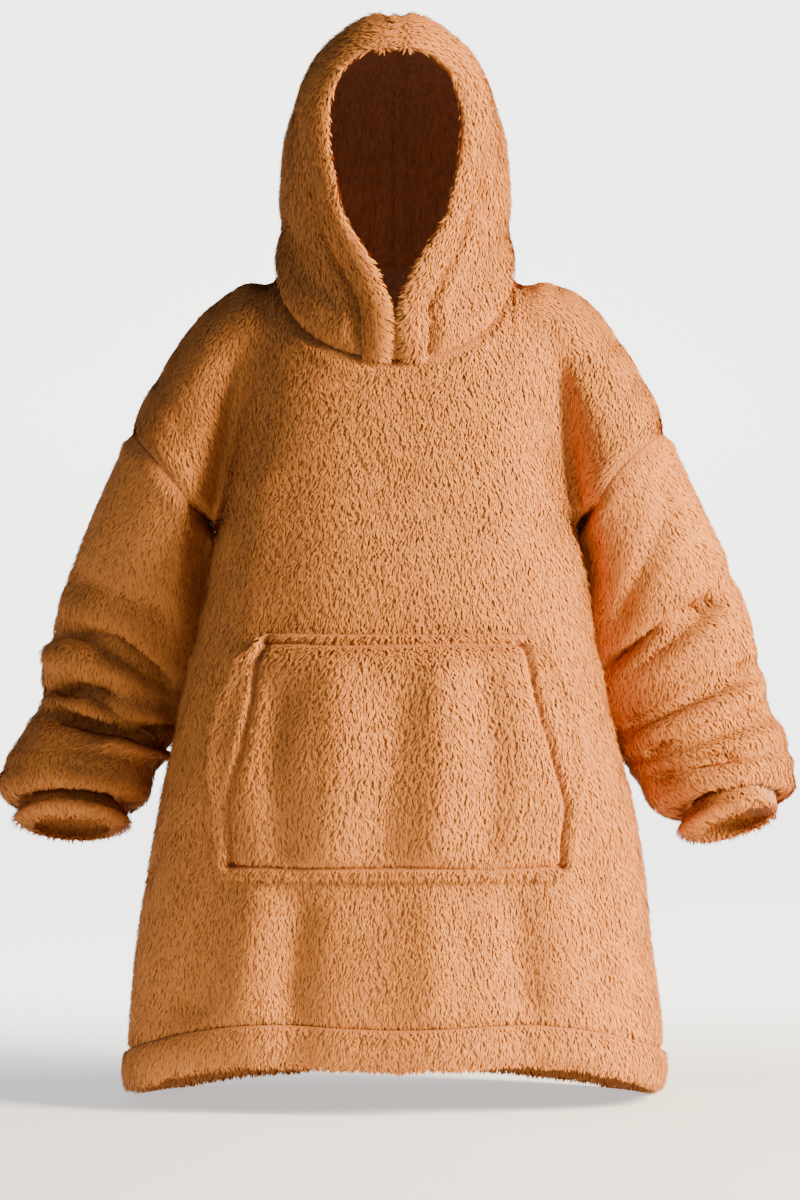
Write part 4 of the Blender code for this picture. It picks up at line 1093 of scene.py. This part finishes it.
def close(grid):
    """A wrapped grid with its first column repeated at its end."""
    return np.concatenate([grid, grid[:, :1]], axis=1)


def strip_outward(grid, wrap):
    """Outward directions of a turned strip: square to its lines, away from the sections' middles."""
    if wrap:
        run = np.roll(grid, -1, axis=1) - np.roll(grid, 1, axis=1)
        across, core = np.gradient(grid, axis=0), grid.mean(axis=0, keepdims=True)
    else:
        run, across = np.gradient(grid, axis=0), np.gradient(grid, axis=1)
        core = grid.mean(axis=1, keepdims=True)
    out = unit(np.cross(across, run))
    return out if np.sum(out * (grid - core)) > 0 else -out


def add_node(tree, kind, settings=None, **links):
    """One node with its settings and the links into its sockets, given as name=(node, output)."""
    node = tree.nodes.new(kind)
    for key, value in (settings or {}).items():
        if key in node.inputs:
            node.inputs[key].default_value = value
        else:
            setattr(node, key, value)
    for key, (source, output) in links.items():
        tree.links.new(source.outputs[output], node.inputs[key])
    return node


def new_material(name, roughness, sheen, sheen_roughness, specular, tint):
    """A material with its shader's constant values set on the sockets themselves."""
    material = bpy.data.materials.new(name)
    material.use_nodes = True
    shader = material.node_tree.nodes["Principled BSDF"]
    shader.inputs["Roughness"].default_value = roughness
    shader.inputs["Metallic"].default_value = 0.0
    shader.inputs["Sheen Weight"].default_value = sheen
    shader.inputs["Sheen Roughness"].default_value = sheen_roughness
    shader.inputs["Sheen Tint"].default_value = (*tint, 1.0)
    shader.inputs["Specular IOR Level"].default_value = specular
    return material, material.node_tree, shader


def ramp(tree, stops, source, output):
    """A colour ramp through the given places and colours."""
    node = add_node(tree, "ShaderNodeValToRGB", None, Fac=(source, output))
    elements = node.color_ramp.elements
    while len(elements) < len(stops):
        elements.new(0.5)
    for element, (place, colour) in zip(elements, stops):
        element.position = place
        element.color = (*colour, 1.0)
    return node


def pile_material(colours):
    """Polyester plush pile, brushed and sheared: dull fibres with pale ends and dark gaps between.

    The eye gets short streaks, because every tuft has its own tone and runs from a dark root to a
    light tip; the dark root is painted shade, standing in for the shade deep between the tufts.
    Real fibres are far thinner; a tuft stands for the few dozen that cling together.
    """
    name = "polyester_plush_pile"
    if name in bpy.data.materials:
        return bpy.data.materials[name]
    material, tree, shader = new_material(name, 0.88, 0.22, 0.45, 0.18, colours.tip)
    place = add_node(tree, "ShaderNodeUVMap", {"uv_map": "OFBake"})
    parts = add_node(tree, "ShaderNodeSeparateXYZ", None, Vector=(place, "UV"))
    # Root to tip along each tuft: the darkening towards the root is painted shade deep in the pile.
    depth = ramp(tree, (
        (0.0, colours.root), (0.34, colours.middle), (1.0, colours.tip)), parts, "Y")
    tone = ramp(tree, (
        (0.0, (0.72, 0.69, 0.66)), (0.5, (0.89, 0.88, 0.87)), (1.0, (1.0, 1.0, 1.0))), parts, "X")
    mix = add_node(tree, "ShaderNodeMixRGB", {"blend_type": "MULTIPLY", "Fac": 1.0},
                   Color1=(depth, "Color"), Color2=(tone, "Color"))
    tree.links.new(mix.outputs["Color"], shader.inputs["Base Color"])
    return material


def backing_material(colours):
    """Warp-knitted polyester ground: matt, darker than the pile as painted shade under the tufts."""
    name = "knitted_polyester_ground"
    if name in bpy.data.materials:
        return bpy.data.materials[name]
    material, tree, shader = new_material(name, 0.95, 0.1, 0.5, 0.1, colours.middle)
    place = add_node(tree, "ShaderNodeTexCoord")
    # Spots of the root colour every 4 mm or so, for clumps of pile root: painted shade between the
    # tufts.
    noise = add_node(tree, "ShaderNodeTexNoise", {"Scale": 240.0, "Detail": 3.0},
                     Vector=(place, "Object"))
    colour = ramp(tree, ((0.3, colours.root), (0.7, colours.backing)), noise, "Fac")
    bump = add_node(tree, "ShaderNodeBump", {"Strength": 0.6, "Distance": 0.002},
                    Height=(noise, "Fac"))
    tree.links.new(colour.outputs["Color"], shader.inputs["Base Color"])
    tree.links.new(bump.outputs["Normal"], shader.inputs["Normal"])
    return material


def wrong_side_material(colours):
    """Brushed wrong side of the knit: upright wales 3 mm apart, blurred by a soft nap."""
    name = "brushed_knit_wrong_side"
    if name in bpy.data.materials:
        return bpy.data.materials[name]
    material, tree, shader = new_material(name, 0.93, 0.15, 0.5, 0.12, colours.middle)
    place = add_node(tree, "ShaderNodeTexCoord")
    # Stretched along the wales: 3 mm across and about 14 mm along.
    stretched = add_node(tree, "ShaderNodeMapping", {"Scale": (330.0, 330.0, 70.0)},
                         Vector=(place, "Object"))
    wales = add_node(tree, "ShaderNodeTexNoise", {"Scale": 1.0, "Detail": 3.0, "Roughness": 0.6},
                     Vector=(stretched, "Vector"))
    dark = tuple(0.5 * c for c in colours.wrong_side)
    colour = ramp(tree, ((0.25, dark), (0.75, tuple(colours.wrong_side))), wales, "Fac")
    bump = add_node(tree, "ShaderNodeBump", {"Strength": 0.8, "Distance": 0.002},
                    Height=(wales, "Fac"))
    tree.links.new(colour.outputs["Color"], shader.inputs["Base Color"])
    tree.links.new(bump.outputs["Normal"], shader.inputs["Normal"])
    return material


def floor_material(colours):
    """Painted studio cove: matt and almost white, with a faint glow so that it stays pale."""
    material, tree, shader = new_material("painted_studio_cove", 0.9, 0.0, 0.5, 0.1, (1.0,) * 3)
    place = add_node(tree, "ShaderNodeTexCoord")
    noise = add_node(tree, "ShaderNodeTexNoise", {"Scale": 3.0}, Vector=(place, "Object"))
    pale = tuple(colours.floor)
    colour = ramp(tree, ((0.0, tuple(0.99 * c for c in pale)), (1.0, pale)), noise, "Fac")
    tree.links.new(colour.outputs["Color"], shader.inputs["Base Color"])
    # The glow grows behind the garment, so that little of it comes from the floor at its foot.
    parts = add_node(tree, "ShaderNodeSeparateXYZ", None, Vector=(place, "Object"))
    reach = add_node(tree, "ShaderNodeMapRange", {"From Min": GLOW_FROM, "From Max": GLOW_TO},
                     Value=(parts, "Y"))
    glow = ramp(tree, ((0.0, (FLOOR_GLOW_SHARE,) * 3), (1.0, (1.0,) * 3)), reach, "Result")
    tree.links.new(glow.outputs["Color"], shader.inputs["Emission Color"])
    shader.inputs["Emission Strength"].default_value = COVE_GLOW
    return material


def cloth_materials(context):
    colours = context.scene.plush_colours
    return [backing_material(colours), wrong_side_material(colours)]


def dress(node, piece, tufts):
    """Put a finished shell and its pile on the root body, and hide the CAD part of its node."""
    for thing in (piece, tufts):
        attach(thing, "root")
    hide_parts(node)


def make_wall(context, node, grid, out, wrap, sink, nap, seed, keep=None,
              stretch=None, density=1.0):
    """Shell and pile of one wall: the grid sunk by inset and creases, and one cloth further in."""
    sizes, colours = context.scene.plush_sizes, context.scene.plush_colours
    outer = grid - out * (sizes.inset + sink)[..., None]
    inner = grid - out * (sizes.inset + sizes.cloth + sink)[..., None]
    piece = add_shell(node + "_cloth", outer, inner, wrap, cloth_materials(context))
    if wrap:
        outer, out, nap = close(outer), close(out), close(nap)
        keep = None if keep is None else close(keep)
        stretch = None if stretch is None else close(stretch)
    tilted = surface_directions(outer, out)
    tufts = add_pile(node + "_pile", outer, tilted, nap, pile_material(colours), sizes, seed,
                     keep, stretch, density)
    dress(node, piece, tufts)
    return piece


def surface_directions(grid, out):
    """The sunk surface's own outward directions, on the side that the wall's directions give."""
    own = normals(grid)
    sign = np.where(np.sum(own * out, axis=-1, keepdims=True) < 0.0, -1.0, 1.0)
    return unit(own * sign + 0.15 * out)


def make_band(context, node, grid, wrap, nap, seed):
    """A strip of cloth turned in on itself, and its pile."""
    sizes, colours = context.scene.plush_sizes, context.scene.plush_colours
    out = strip_outward(grid, wrap)
    piece = add_shell(node + "_cloth", grid, grid - out * sizes.cloth, wrap,
                      cloth_materials(context))
    nap = np.broadcast_to(np.asarray(nap, float), grid.shape)
    if wrap:
        grid, out, nap = close(grid), close(out), close(nap)
    tufts = add_pile(node + "_pile", grid, out, nap, pile_material(colours), sizes, seed)
    dress(node, piece, tufts)
    return piece


def near_seam_stretch(distance):
    """Pile is pressed short at a seam and full from 12 mm on."""
    return 0.40 + 0.60 * ease(distance / 0.012)


def climb(grid):
    """Unit direction from row to row."""
    return unit(np.gradient(grid, axis=0))


class PLUSH_OT_body(bpy.types.Operator):
    """Front and back: shell on the body's form with hanging folds, pile lying downwards"""
    bl_idname = "plush.body"
    bl_label = "Front and back"

    def execute(self, context):
        form = forms()
        for face, seed, area in (("front", 11, 0.56), ("back", 23, 0.57)):
            grid, out = form[face], form[face + "_out"]
            distance, over = body_distance(grid)
            creases = crease_depth(grid[..., 0], grid[..., 2], FACE_CREASES[face])
            sink = seam_sink(distance) + creases * ease(edge_distance(grid, False) / CREASE_FADE)
            sink = sink - SHOULDER_FULLNESS * over
            keep = None
            if face == "front":
                keep = 1.0 - under_pocket(grid[..., 0], grid[..., 2])
            nap = unit(over[..., None] * SHOULDER_TURN * outwards(grid) - climb(grid))
            short = near_seam_stretch(distance) * (1.0 - 0.3 * over)
            make_wall(context, face + "_panel", grid, out, False, sink, nap, seed,
                      keep, short, FACE_DENSITY[face])
        return {"FINISHED"}


def outwards(grid):
    """Unit direction along a row, away from the garment's middle."""
    return unit(np.gradient(grid, axis=1)) * np.sign(grid[..., :1])


def body_distance(grid):
    """Distance to the seams of the front or back, and how much a point belongs to the shoulder.

    The shoulder seam hardly shows, so it counts as further away than it is.
    """
    up, across = travelled(grid, 0), travelled(grid, 1)
    top = up[-1:] - up
    columns = grid.shape[1]
    out = np.abs(np.arange(columns) - (columns - 1) // 2) / REFINE
    shoulder = ease((out - NECK_COLUMNS) / 1.5)[None, :]
    sides = np.minimum(across, across[:, -1:] - across)
    distance = np.minimum(np.minimum(up, sides), top + 0.013 * shoulder)
    return distance, shoulder * np.exp(-((top / 0.07) ** 2)) * ease(sides / 0.03)


def under_pocket(x, z):
    """1 where the pocket hides the front, 12 mm inside its outline."""
    low, high = POCKET_OUTLINE[0][0], POCKET_OUTLINE[-1][0]
    half = read(POCKET_OUTLINE, POCKET_COLUMNS, "half_width", z) - 0.012
    inside = (np.abs(x - POCKET_X) < half) & (z > low + 0.012) & (z < high - 0.012)
    return inside.astype(float)


class PLUSH_OT_sleeves(bpy.types.Operator):
    """Sleeves: drop-shoulder tubes, crumpled above the cuffs, pile lying towards the wrist"""
    bl_idname = "plush.sleeves"
    bl_label = "Sleeves"

    def execute(self, context):
        form = forms()
        for side, seed in (("left", 37), ("right", 41)):
            grid, out = form["sleeves"][side], form["sleeve_out"][side]
            distance = edge_distance(grid, True)
            rows, columns = grid.shape[:2]
            sink = seam_sink(distance) + sleeve_crease_depth(side, rows, columns) * ease(
                distance / 0.012)
            make_wall(context, "sleeve_" + side, grid, out, True, sink, climb(grid), seed,
                      None, near_seam_stretch(distance))
        return {"FINISHED"}


class PLUSH_OT_hood(bpy.types.Operator):
    """Hood: two halves joined by a seam from the face opening over the crown to the neck"""
    bl_idname = "plush.hood"
    bl_label = "Hood halves"

    def execute(self, context):
        form = forms()
        for side, seed in (("left", 53), ("right", 59)):
            grid, out = form["hoods"][side], form["hood_out"][side]
            distance = edge_distance(grid, False)
            rows, columns = grid.shape[:2]
            across = np.linspace(0.0, 1.0, columns)[None, :] + np.zeros((rows, 1))
            up = np.linspace(0.0, 1.0, rows)[:, None] + np.zeros((1, columns))
            if side == "left":
                across = 1.0 - across
            sink = seam_sink(distance) + (crease_depth(across, up, HOOD_CREASES)
                                          - HOOD_FULLNESS) * ease(distance / 0.02)
            make_wall(context, "hood_" + side, grid, out, False, sink, -climb(grid), seed,
                      None, near_seam_stretch(distance))
        return {"FINISHED"}


class PLUSH_OT_hood_edge(bpy.types.Operator):
    """Hood edge: the hood's edge turned in on itself, thick and soft, parted at the top seam"""
    bl_idname = "plush.hood_edge"
    bl_label = "Hood edge"

    def execute(self, context):
        form = forms()
        count = HOOD_ROWS * REFINE
        along = np.linspace(0.0, 1.0, count + 1)
        seam, lip = edge_curves(form["front"], along)
        lip[:, 0] = np.maximum(lip[:, 0], 0.0008)
        out = across_band(seam, lip)
        out[-1, 0] = 0.0
        grid = band_grid(seam, lip, -out, 0.0062, 0.0034, 0.0020)
        grid = mitre(grid, seam, form["hood_out"]["right"][:, 0],
                     form["hoods"]["right"][:, 1] - form["hoods"]["right"][:, 0])
        grid[..., 0] = np.maximum(grid[..., 0], 0.0012)
        for side, mirror, seed in (("right", 1.0, 61), ("left", -1.0, 67)):
            turned = grid * np.array([mirror, 1.0, 1.0])
            lean = PARTING_LEAN * np.exp(-(grid[..., :1] / PARTING_REACH) ** 2)
            nap = unit(lean * np.array([-mirror, 0.0, 0.0]) - climb(turned))
            make_band(context, "hood_edge_" + side, turned, False, nap, seed)
        return {"FINISHED"}


class PLUSH_OT_cuffs(bpy.types.Operator):
    """Cuffs: a turned strip sewn as a ring to each gathered sleeve end"""
    bl_idname = "plush.cuffs"
    bl_label = "Cuffs"

    def execute(self, context):
        form = forms()
        for side, seed in (("right", 71), ("left", 73)):
            end, before = form["sleeves"][side][-1], form["sleeves"][side][-4]
            wall_out = form["sleeve_out"][side][-1]
            centre = end.mean(axis=0)
            spoke = end - centre
            plane = unit(np.cross(spoke[0], spoke[len(spoke) // 4]))
            down = plane if np.dot(plane, centre - before.mean(axis=0)) > 0 else -plane
            outward = unit(unit(spoke) - np.outer(unit(spoke) @ down, down))
            top = end - wall_out * 0.5 * WALL
            middle = top + down * (0.5 * CUFF_HEIGHT + CUFF_GAP + 0.0020)
            angle = section_angles()
            thick, tall = 0.5 * CUFF_THICKNESS - 0.0030, 0.5 * CUFF_HEIGHT - 0.0010
            rise = thick * np.sin(angle) + (CUFF_FLARE + 0.0060) * np.sin(angle) ** 2
            gather = 1.0 + 0.10 * ripple(end, 0.030, seed)
            grid = (
                middle[:, None] - down[None, None] * (tall * np.cos(angle))[None, :, None]
                + outward[:, None] * (rise[None, :] * gather[:, None])[..., None]
            )
            grid = mitre(grid, end, wall_out, before - end).transpose(1, 0, 2)
            make_band(context, "cuff_" + side, grid, True, down, seed)
        return {"FINISHED"}


class PLUSH_OT_pocket(bpy.types.Operator):
    """Kangaroo pocket: one standing panel, sewn at its top, foot and lower sides, its mouths open"""
    bl_idname = "plush.pocket"
    bl_label = "Pocket"

    def execute(self, context):
        sizes = context.scene.plush_sizes
        outer, distance, nap = pocket_form(sizes)
        out = normals(outer)
        inner = outer - out * sizes.cloth
        piece = add_shell("pocket_cloth", outer, inner, False, cloth_materials(context))
        tufts = add_pile("pocket_pile", outer, out, nap,
                         pile_material(context.scene.plush_colours), sizes, 83,
                         None, near_seam_stretch(distance))
        dress("pocket", piece, tufts)
        return {"FINISHED"}


def pocket_form(sizes):
    """The pocket's outer grid: the front's own surface plus a rounded stand, creases and seams.

    The stand is zero along the sewn edges, a finger's room at the mouths, fullest in the middle.
    """
    across, up = 110, 84
    t = np.linspace(0.0, 1.0, up + 1)[:, None]
    u = np.linspace(-1.0, 1.0, across + 1)[None, :]
    low, high = POCKET_OUTLINE[0][0], POCKET_OUTLINE[-1][0]
    z = low + (high - low) * t + 0.0 * u
    half = read(POCKET_OUTLINE, POCKET_COLUMNS, "half_width", z)
    x = POCKET_X + half * np.sign(u) * np.abs(u) ** 0.9
    y = np.where(
        x < 0, face_y("front", "left", np.abs(x), z), face_y("front", "right", np.abs(x), z))
    surface = np.stack([x, y, z], axis=-1)
    out = normals(surface)
    upright = np.sin(np.pi * t) ** 0.7
    mouth = np.clip((t - 0.12) / 0.3, 0.0, 1.0) * np.clip((1.0 - t) / 0.12, 0.0, 1.0)
    stand = POCKET_MOUTH_GAP * mouth + (POCKET_BULGE - POCKET_MOUTH_GAP * mouth) * (
        upright * (1.0 - np.abs(u) ** 3))
    distance = edge_distance(surface, False)
    sewn = 1.0 - ease(np.minimum(np.minimum(t, 1.0 - t) / 0.10, 1.0))
    stand = np.maximum(stand, 0.0) + WALL - sizes.inset - 0.0030 * sewn
    sunk = crease_depth(x, z, POCKET_CREASES) * ease(distance / 0.03)
    lines = crease_depth(x, z, POCKET_LINES)
    sunk = sunk + lines - POCKET_WELT * np.exp(-((distance / 0.009) ** 2))
    grid = surface + out * (stand - sunk)[..., None]
    return grid, 0.012 * np.clip(1.0 - lines / 0.0045, 0.0, 1.0), -climb(grid)


class PLUSH_OT_hems(bpy.types.Operator):
    """Hems: the lower edge turned up double, front and back, joined at the sides"""
    bl_idname = "plush.hems"
    bl_label = "Hems"

    def execute(self, context):
        form = forms()
        for face, seed in (("front", 91), ("back", 97)):
            grid, directions = form[face], form[face + "_out"][0]
            seam = grid[0]
            columns = grid.shape[1]
            half = (columns - 1) // 2
            c = np.abs(np.arange(columns) - half) / half
            degrees = 90.0 * c if face == "front" else 180.0 - 90.0 * c
            edge_z = read(HEM_LEVELS, HEM_COLUMNS, "edge_z", degrees)
            left = seam[:, 0] < 0
            widths = np.where(left, body("left", edge_z), body("right", edge_z))
            seam_widths = np.where(left, body("left", seam[:, 2]), body("right", seam[:, 2]))
            lower = seam.copy()
            lower[:, 0] *= widths / seam_widths
            lower[:, 2] = edge_z + 0.0016 * ripple(seam, 0.07, seed)
            grid = band_grid(seam, lower, directions, 0.5 * HEM_THICKNESS - 0.0016, 0.0008, -0.0018)
            make_band(context, "hem_" + face, grid, False, (0.0, 0.0, -1.0), seed)
        return {"FINISHED"}


class PLUSH_OT_stage(bpy.types.Operator):
    """Stage: pale floor that curves up behind, two soft lights and the camera"""
    bl_idname = "plush.stage"
    bl_label = "Stage"

    def execute(self, context):
        scene = context.scene
        settings = scene.plush_stage
        ground = CAD_BOX[0][2] - GROUND_GAP
        # Profile of the cove: level floor, a quarter circle, and an upright wall. The wall stands so
        # far back that a camera behind the garment is still in front of it.
        turn = np.linspace(0.0, 0.5 * np.pi, 17)
        floor_y = np.concatenate([
            [COVE_FRONT, COVE_BEND], COVE_BEND + COVE_RADIUS * np.sin(turn[1:]),
            [COVE_BEND + COVE_RADIUS]])
        floor_z = np.concatenate([
            [0.0, 0.0], COVE_RADIUS - COVE_RADIUS * np.cos(turn[1:]), [COVE_HEIGHT]])
        grid = np.zeros((len(floor_y), 2, 3))
        grid[:, 0, 0], grid[:, 1, 0] = -COVE_HALF_WIDTH, COVE_HALF_WIDTH
        grid[..., 1], grid[..., 2] = floor_y[:, None], ground + floor_z[:, None]
        mesh = bpy.data.meshes.new("studio_cove")
        mesh.from_pydata(grid.reshape(-1, 3).tolist(), [],
                         grid_quads(len(floor_y), 2, False).tolist())
        mesh.shade_smooth()
        mesh.materials.append(floor_material(scene.plush_colours))
        cove = bpy.data.objects.new("studio_cove", mesh)
        scene.collection.objects.link(cove)

        world = bpy.data.worlds.new("studio_air")
        world.use_nodes = True
        air = world.node_tree.nodes["Background"]
        air.inputs["Color"].default_value = AIR_COLOUR
        air.inputs["Strength"].default_value = AIR_STRENGTH
        scene.world = world

        for name, place, aim, size, power, colour in (
            ("key_light", (4.3, -2.4, 1.2), (0.05, 0.0, -0.42), 1.7, settings.key_power,
             KEY_COLOUR),
            ("fill_light", (-3.2, -3.0, 0.4), (0.0, 0.0, -0.4), 2.4, settings.fill_power,
             FILL_COLOUR),
        ):
            light = bpy.data.lights.new(name, "AREA")
            light.size = size
            light.energy = power
            light.color = colour
            lamp = bpy.data.objects.new(name, light)
            lamp.location = place
            lamp.rotation_euler = aim_angles(place, aim)
            scene.collection.objects.link(lamp)

        camera = bpy.data.cameras.new("camera")
        camera.sensor_fit = "VERTICAL"
        camera.sensor_height = 36.0
        camera.lens = camera.sensor_height * settings.distance / settings.view_height
        viewer = bpy.data.objects.new("camera", camera)
        viewer.location = (0.0055, -settings.distance, -0.363)
        viewer.rotation_euler = (0.5 * np.pi, 0.0, 0.0)
        scene.collection.objects.link(viewer)
        scene.camera = viewer
        return {"FINISHED"}


def aim_angles(place, aim):
    """Turning angles of a lamp that looks from one point to another, down its own -Z."""
    x, y, z = np.subtract(aim, place)
    return (float(np.arccos(-z / np.sqrt(x * x + y * y + z * z))), 0.0, float(np.arctan2(-x, y)))


OPERATORS = (
    PLUSH_OT_stage, PLUSH_OT_body, PLUSH_OT_sleeves, PLUSH_OT_cuffs, PLUSH_OT_hood,
    PLUSH_OT_hood_edge, PLUSH_OT_pocket, PLUSH_OT_hems,
)


class PLUSH_PT_panel(bpy.types.Panel):
    """The sizes, the colours and the steps, in the order they are run"""
    bl_label = "Plush top"
    bl_idname = "PLUSH_PT_panel"
    bl_space_type = "VIEW_3D"
    bl_region_type = "UI"
    bl_category = "Plush top"

    def draw(self, context):
        for group in ("plush_sizes", "plush_colours", "plush_stage"):
            settings = getattr(context.scene, group)
            box = self.layout.box()
            for name in settings.__annotations__:
                box.prop(settings, name)
        for step in OPERATORS:
            self.layout.operator(step.bl_idname)


CLASSES = (PlushSizes, PlushColours, StageSettings, *OPERATORS, PLUSH_PT_panel)


def register():
    for kind in CLASSES:
        bpy.utils.register_class(kind)
    bpy.types.Scene.plush_sizes = PointerProperty(type=PlushSizes)
    bpy.types.Scene.plush_colours = PointerProperty(type=PlushColours)
    bpy.types.Scene.plush_stage = PointerProperty(type=StageSettings)


def unregister():
    del bpy.types.Scene.plush_stage
    del bpy.types.Scene.plush_colours
    del bpy.types.Scene.plush_sizes
    for kind in reversed(CLASSES):
        bpy.utils.unregister_class(kind)


def main():
    register()
    bpy.ops.plush.stage()
    bpy.ops.plush.body()
    bpy.ops.plush.sleeves()
    bpy.ops.plush.cuffs()
    bpy.ops.plush.hood()
    bpy.ops.plush.hood_edge()
    bpy.ops.plush.pocket()
    bpy.ops.plush.hems()


if __name__ == "__main__":
    main()
